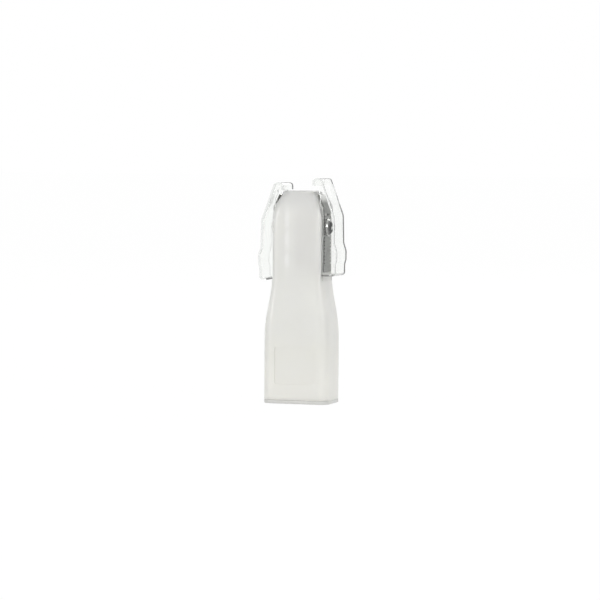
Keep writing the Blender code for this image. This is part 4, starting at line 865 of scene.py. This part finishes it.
def addCamera(settings):
    data = bpy.data.cameras.new("viewCamera")
    camera = bpy.data.objects.new("viewCamera", data)
    bpy.context.scene.collection.objects.link(camera)
    azimuth, elevation, roll = (math.radians(settings[key]) for key in ("azimuth", "elevation", "roll"))
    level = math.cos(elevation)
    back = Vector((math.sin(azimuth) * level, -math.cos(azimuth) * level, math.sin(elevation)))
    right = Vector((math.cos(azimuth), math.sin(azimuth), 0.0))
    aim = right * settings["aimAside"] + Vector((0, 0, settings["aimHeight"]))
    camera.location = aim + back * settings["distance"]
    turn = (-back).to_track_quat("-Z", "Y").to_matrix().to_4x4() @ Matrix.Rotation(roll, 4, "Z")
    camera.matrix_world = Matrix.Translation(camera.location) @ turn
    data.sensor_width = settings["sensorWidth"]
    data.lens = settings["sensorWidth"] * settings["distance"] / settings["framedWidth"]
    data.clip_start, data.clip_end = 0.01, 20
    bpy.context.scene.camera = camera


addCamera(cameraSettings)

lightSettings = {  # metres and watts
    "keyLight": {"place": (-0.40, -0.52, 0.14), "aim": (0, 0, 0.025), "size": 0.22, "power": 1.5},
    "fillLight": {"place": (0.50, -0.30, 0.22), "aim": (0, 0, 0.025), "size": 0.30, "power": 1.35},
    "backLight": {"place": (0.10, 0.50, 0.42), "aim": (0, 0, 0.03), "size": 0.40, "power": 1.0},
}


def addLight(name, place, aim, size, power):
    data = bpy.data.lights.new(name, "AREA")
    data.shape = "RECTANGLE"
    data.size, data.size_y = size, size
    data.energy = power
    light = bpy.data.objects.new(name, data)
    bpy.context.scene.collection.objects.link(light)
    light.location = place
    light.rotation_mode = "QUATERNION"
    light.rotation_quaternion = (Vector(aim) - Vector(place)).to_track_quat("-Z", "Y")


for name, settings in lightSettings.items():
    addLight(name, **settings)


def lightPathWhite(tree, x, y):  # 1 for rays from the camera, from gloss and through clear plastic
    path = tree.nodes.new("ShaderNodeLightPath")
    path.location = (x, y)
    seen = mathNode(tree, x + 200, y, "MAXIMUM", path.outputs["Is Camera Ray"], path.outputs["Is Glossy Ray"])
    return mathNode(tree, x + 400, y, "MAXIMUM", seen, path.outputs["Is Transmission Ray"])


backdrop = {
    "ambient": (0.60, 0.60, 0.595), "white": (1.0, 1.0, 1.0), "worldStrength": 1.0,
    "floorColour": (0.86, 0.86, 0.86), "floorGrain": 0.01, "floorRough": 0.9, "floorSpecular": 0.1,
    "floorGlow": 0.965, "glowStrength": 1.012, "floorHalf": 6.0, "floorSteps": 8, "floorDrop": 0.00002,
}


def buildWorld(settings):
    world = bpy.data.worlds.new("studioWorld")
    bpy.context.scene.world = world
    world.use_nodes = True
    tree = world.node_tree
    background = tree.nodes["Background"]
    shade = colourBlend(tree, -200, 0, lightPathWhite(tree, -900, 0), settings["ambient"], settings["white"])
    tree.links.new(shade, background.inputs["Color"])
    background.inputs["Strength"].default_value = settings["worldStrength"]


def buildFloor(settings):  # seen nearly as white as the backdrop, so that only the shadow shows
    material, tree, shader = startMaterial("paleFloor")
    grainValues = {"Pebble Scale": 900, "Flow Stretch": 1, "Cloud Scale": 20, "Scuff Amount": 0.0}
    grain = placeGroup(tree, skinGroup, -900, -300, grainValues)
    pale = settings["floorColour"]
    paler = tuple(value + settings["floorGrain"] for value in pale)
    setColour(tree, shader, colourBlend(tree, -300, -200, grain.outputs["Cloud"], pale, paler))
    shader.inputs["Roughness"].default_value = settings["floorRough"]
    shader.inputs["Specular IOR Level"].default_value = settings["floorSpecular"]
    white = (*settings["white"], 1.0)
    glow = socketNode(tree, "ShaderNodeEmission", 100, -300, Color=white, Strength=settings["glowStrength"])
    blendIn = tree.nodes.new("ShaderNodeMixShader")
    blendIn.location = (400, 0)
    seen = mathNode(tree, 100, 200, "MULTIPLY", lightPathWhite(tree, -600, 300), settings["floorGlow"])
    for slot, output in enumerate((seen, shader.outputs[0], glow.outputs[0])):
        tree.links.new(output, blendIn.inputs[slot])
    tree.links.new(blendIn.outputs[0], tree.nodes["Material Output"].inputs["Surface"])
    bm = bmesh.new()
    half, steps = settings["floorHalf"], settings["floorSteps"]
    across = [half * (2 * i / steps - 1) for i in range(steps + 1)]
    grid = [[bm.verts.new((x, y, -settings["floorDrop"])) for y in across] for x in across]
    for i in range(steps):
        for j in range(steps):
            bm.faces.new((grid[i][j], grid[i + 1][j], grid[i + 1][j + 1], grid[i][j + 1]))
    newObject("floor", bm, material, 32)


buildWorld(backdrop)
buildFloor(backdrop)
bpy.context.scene.view_settings.view_transform = "Standard"
print("stage: camera, floor and light ready")
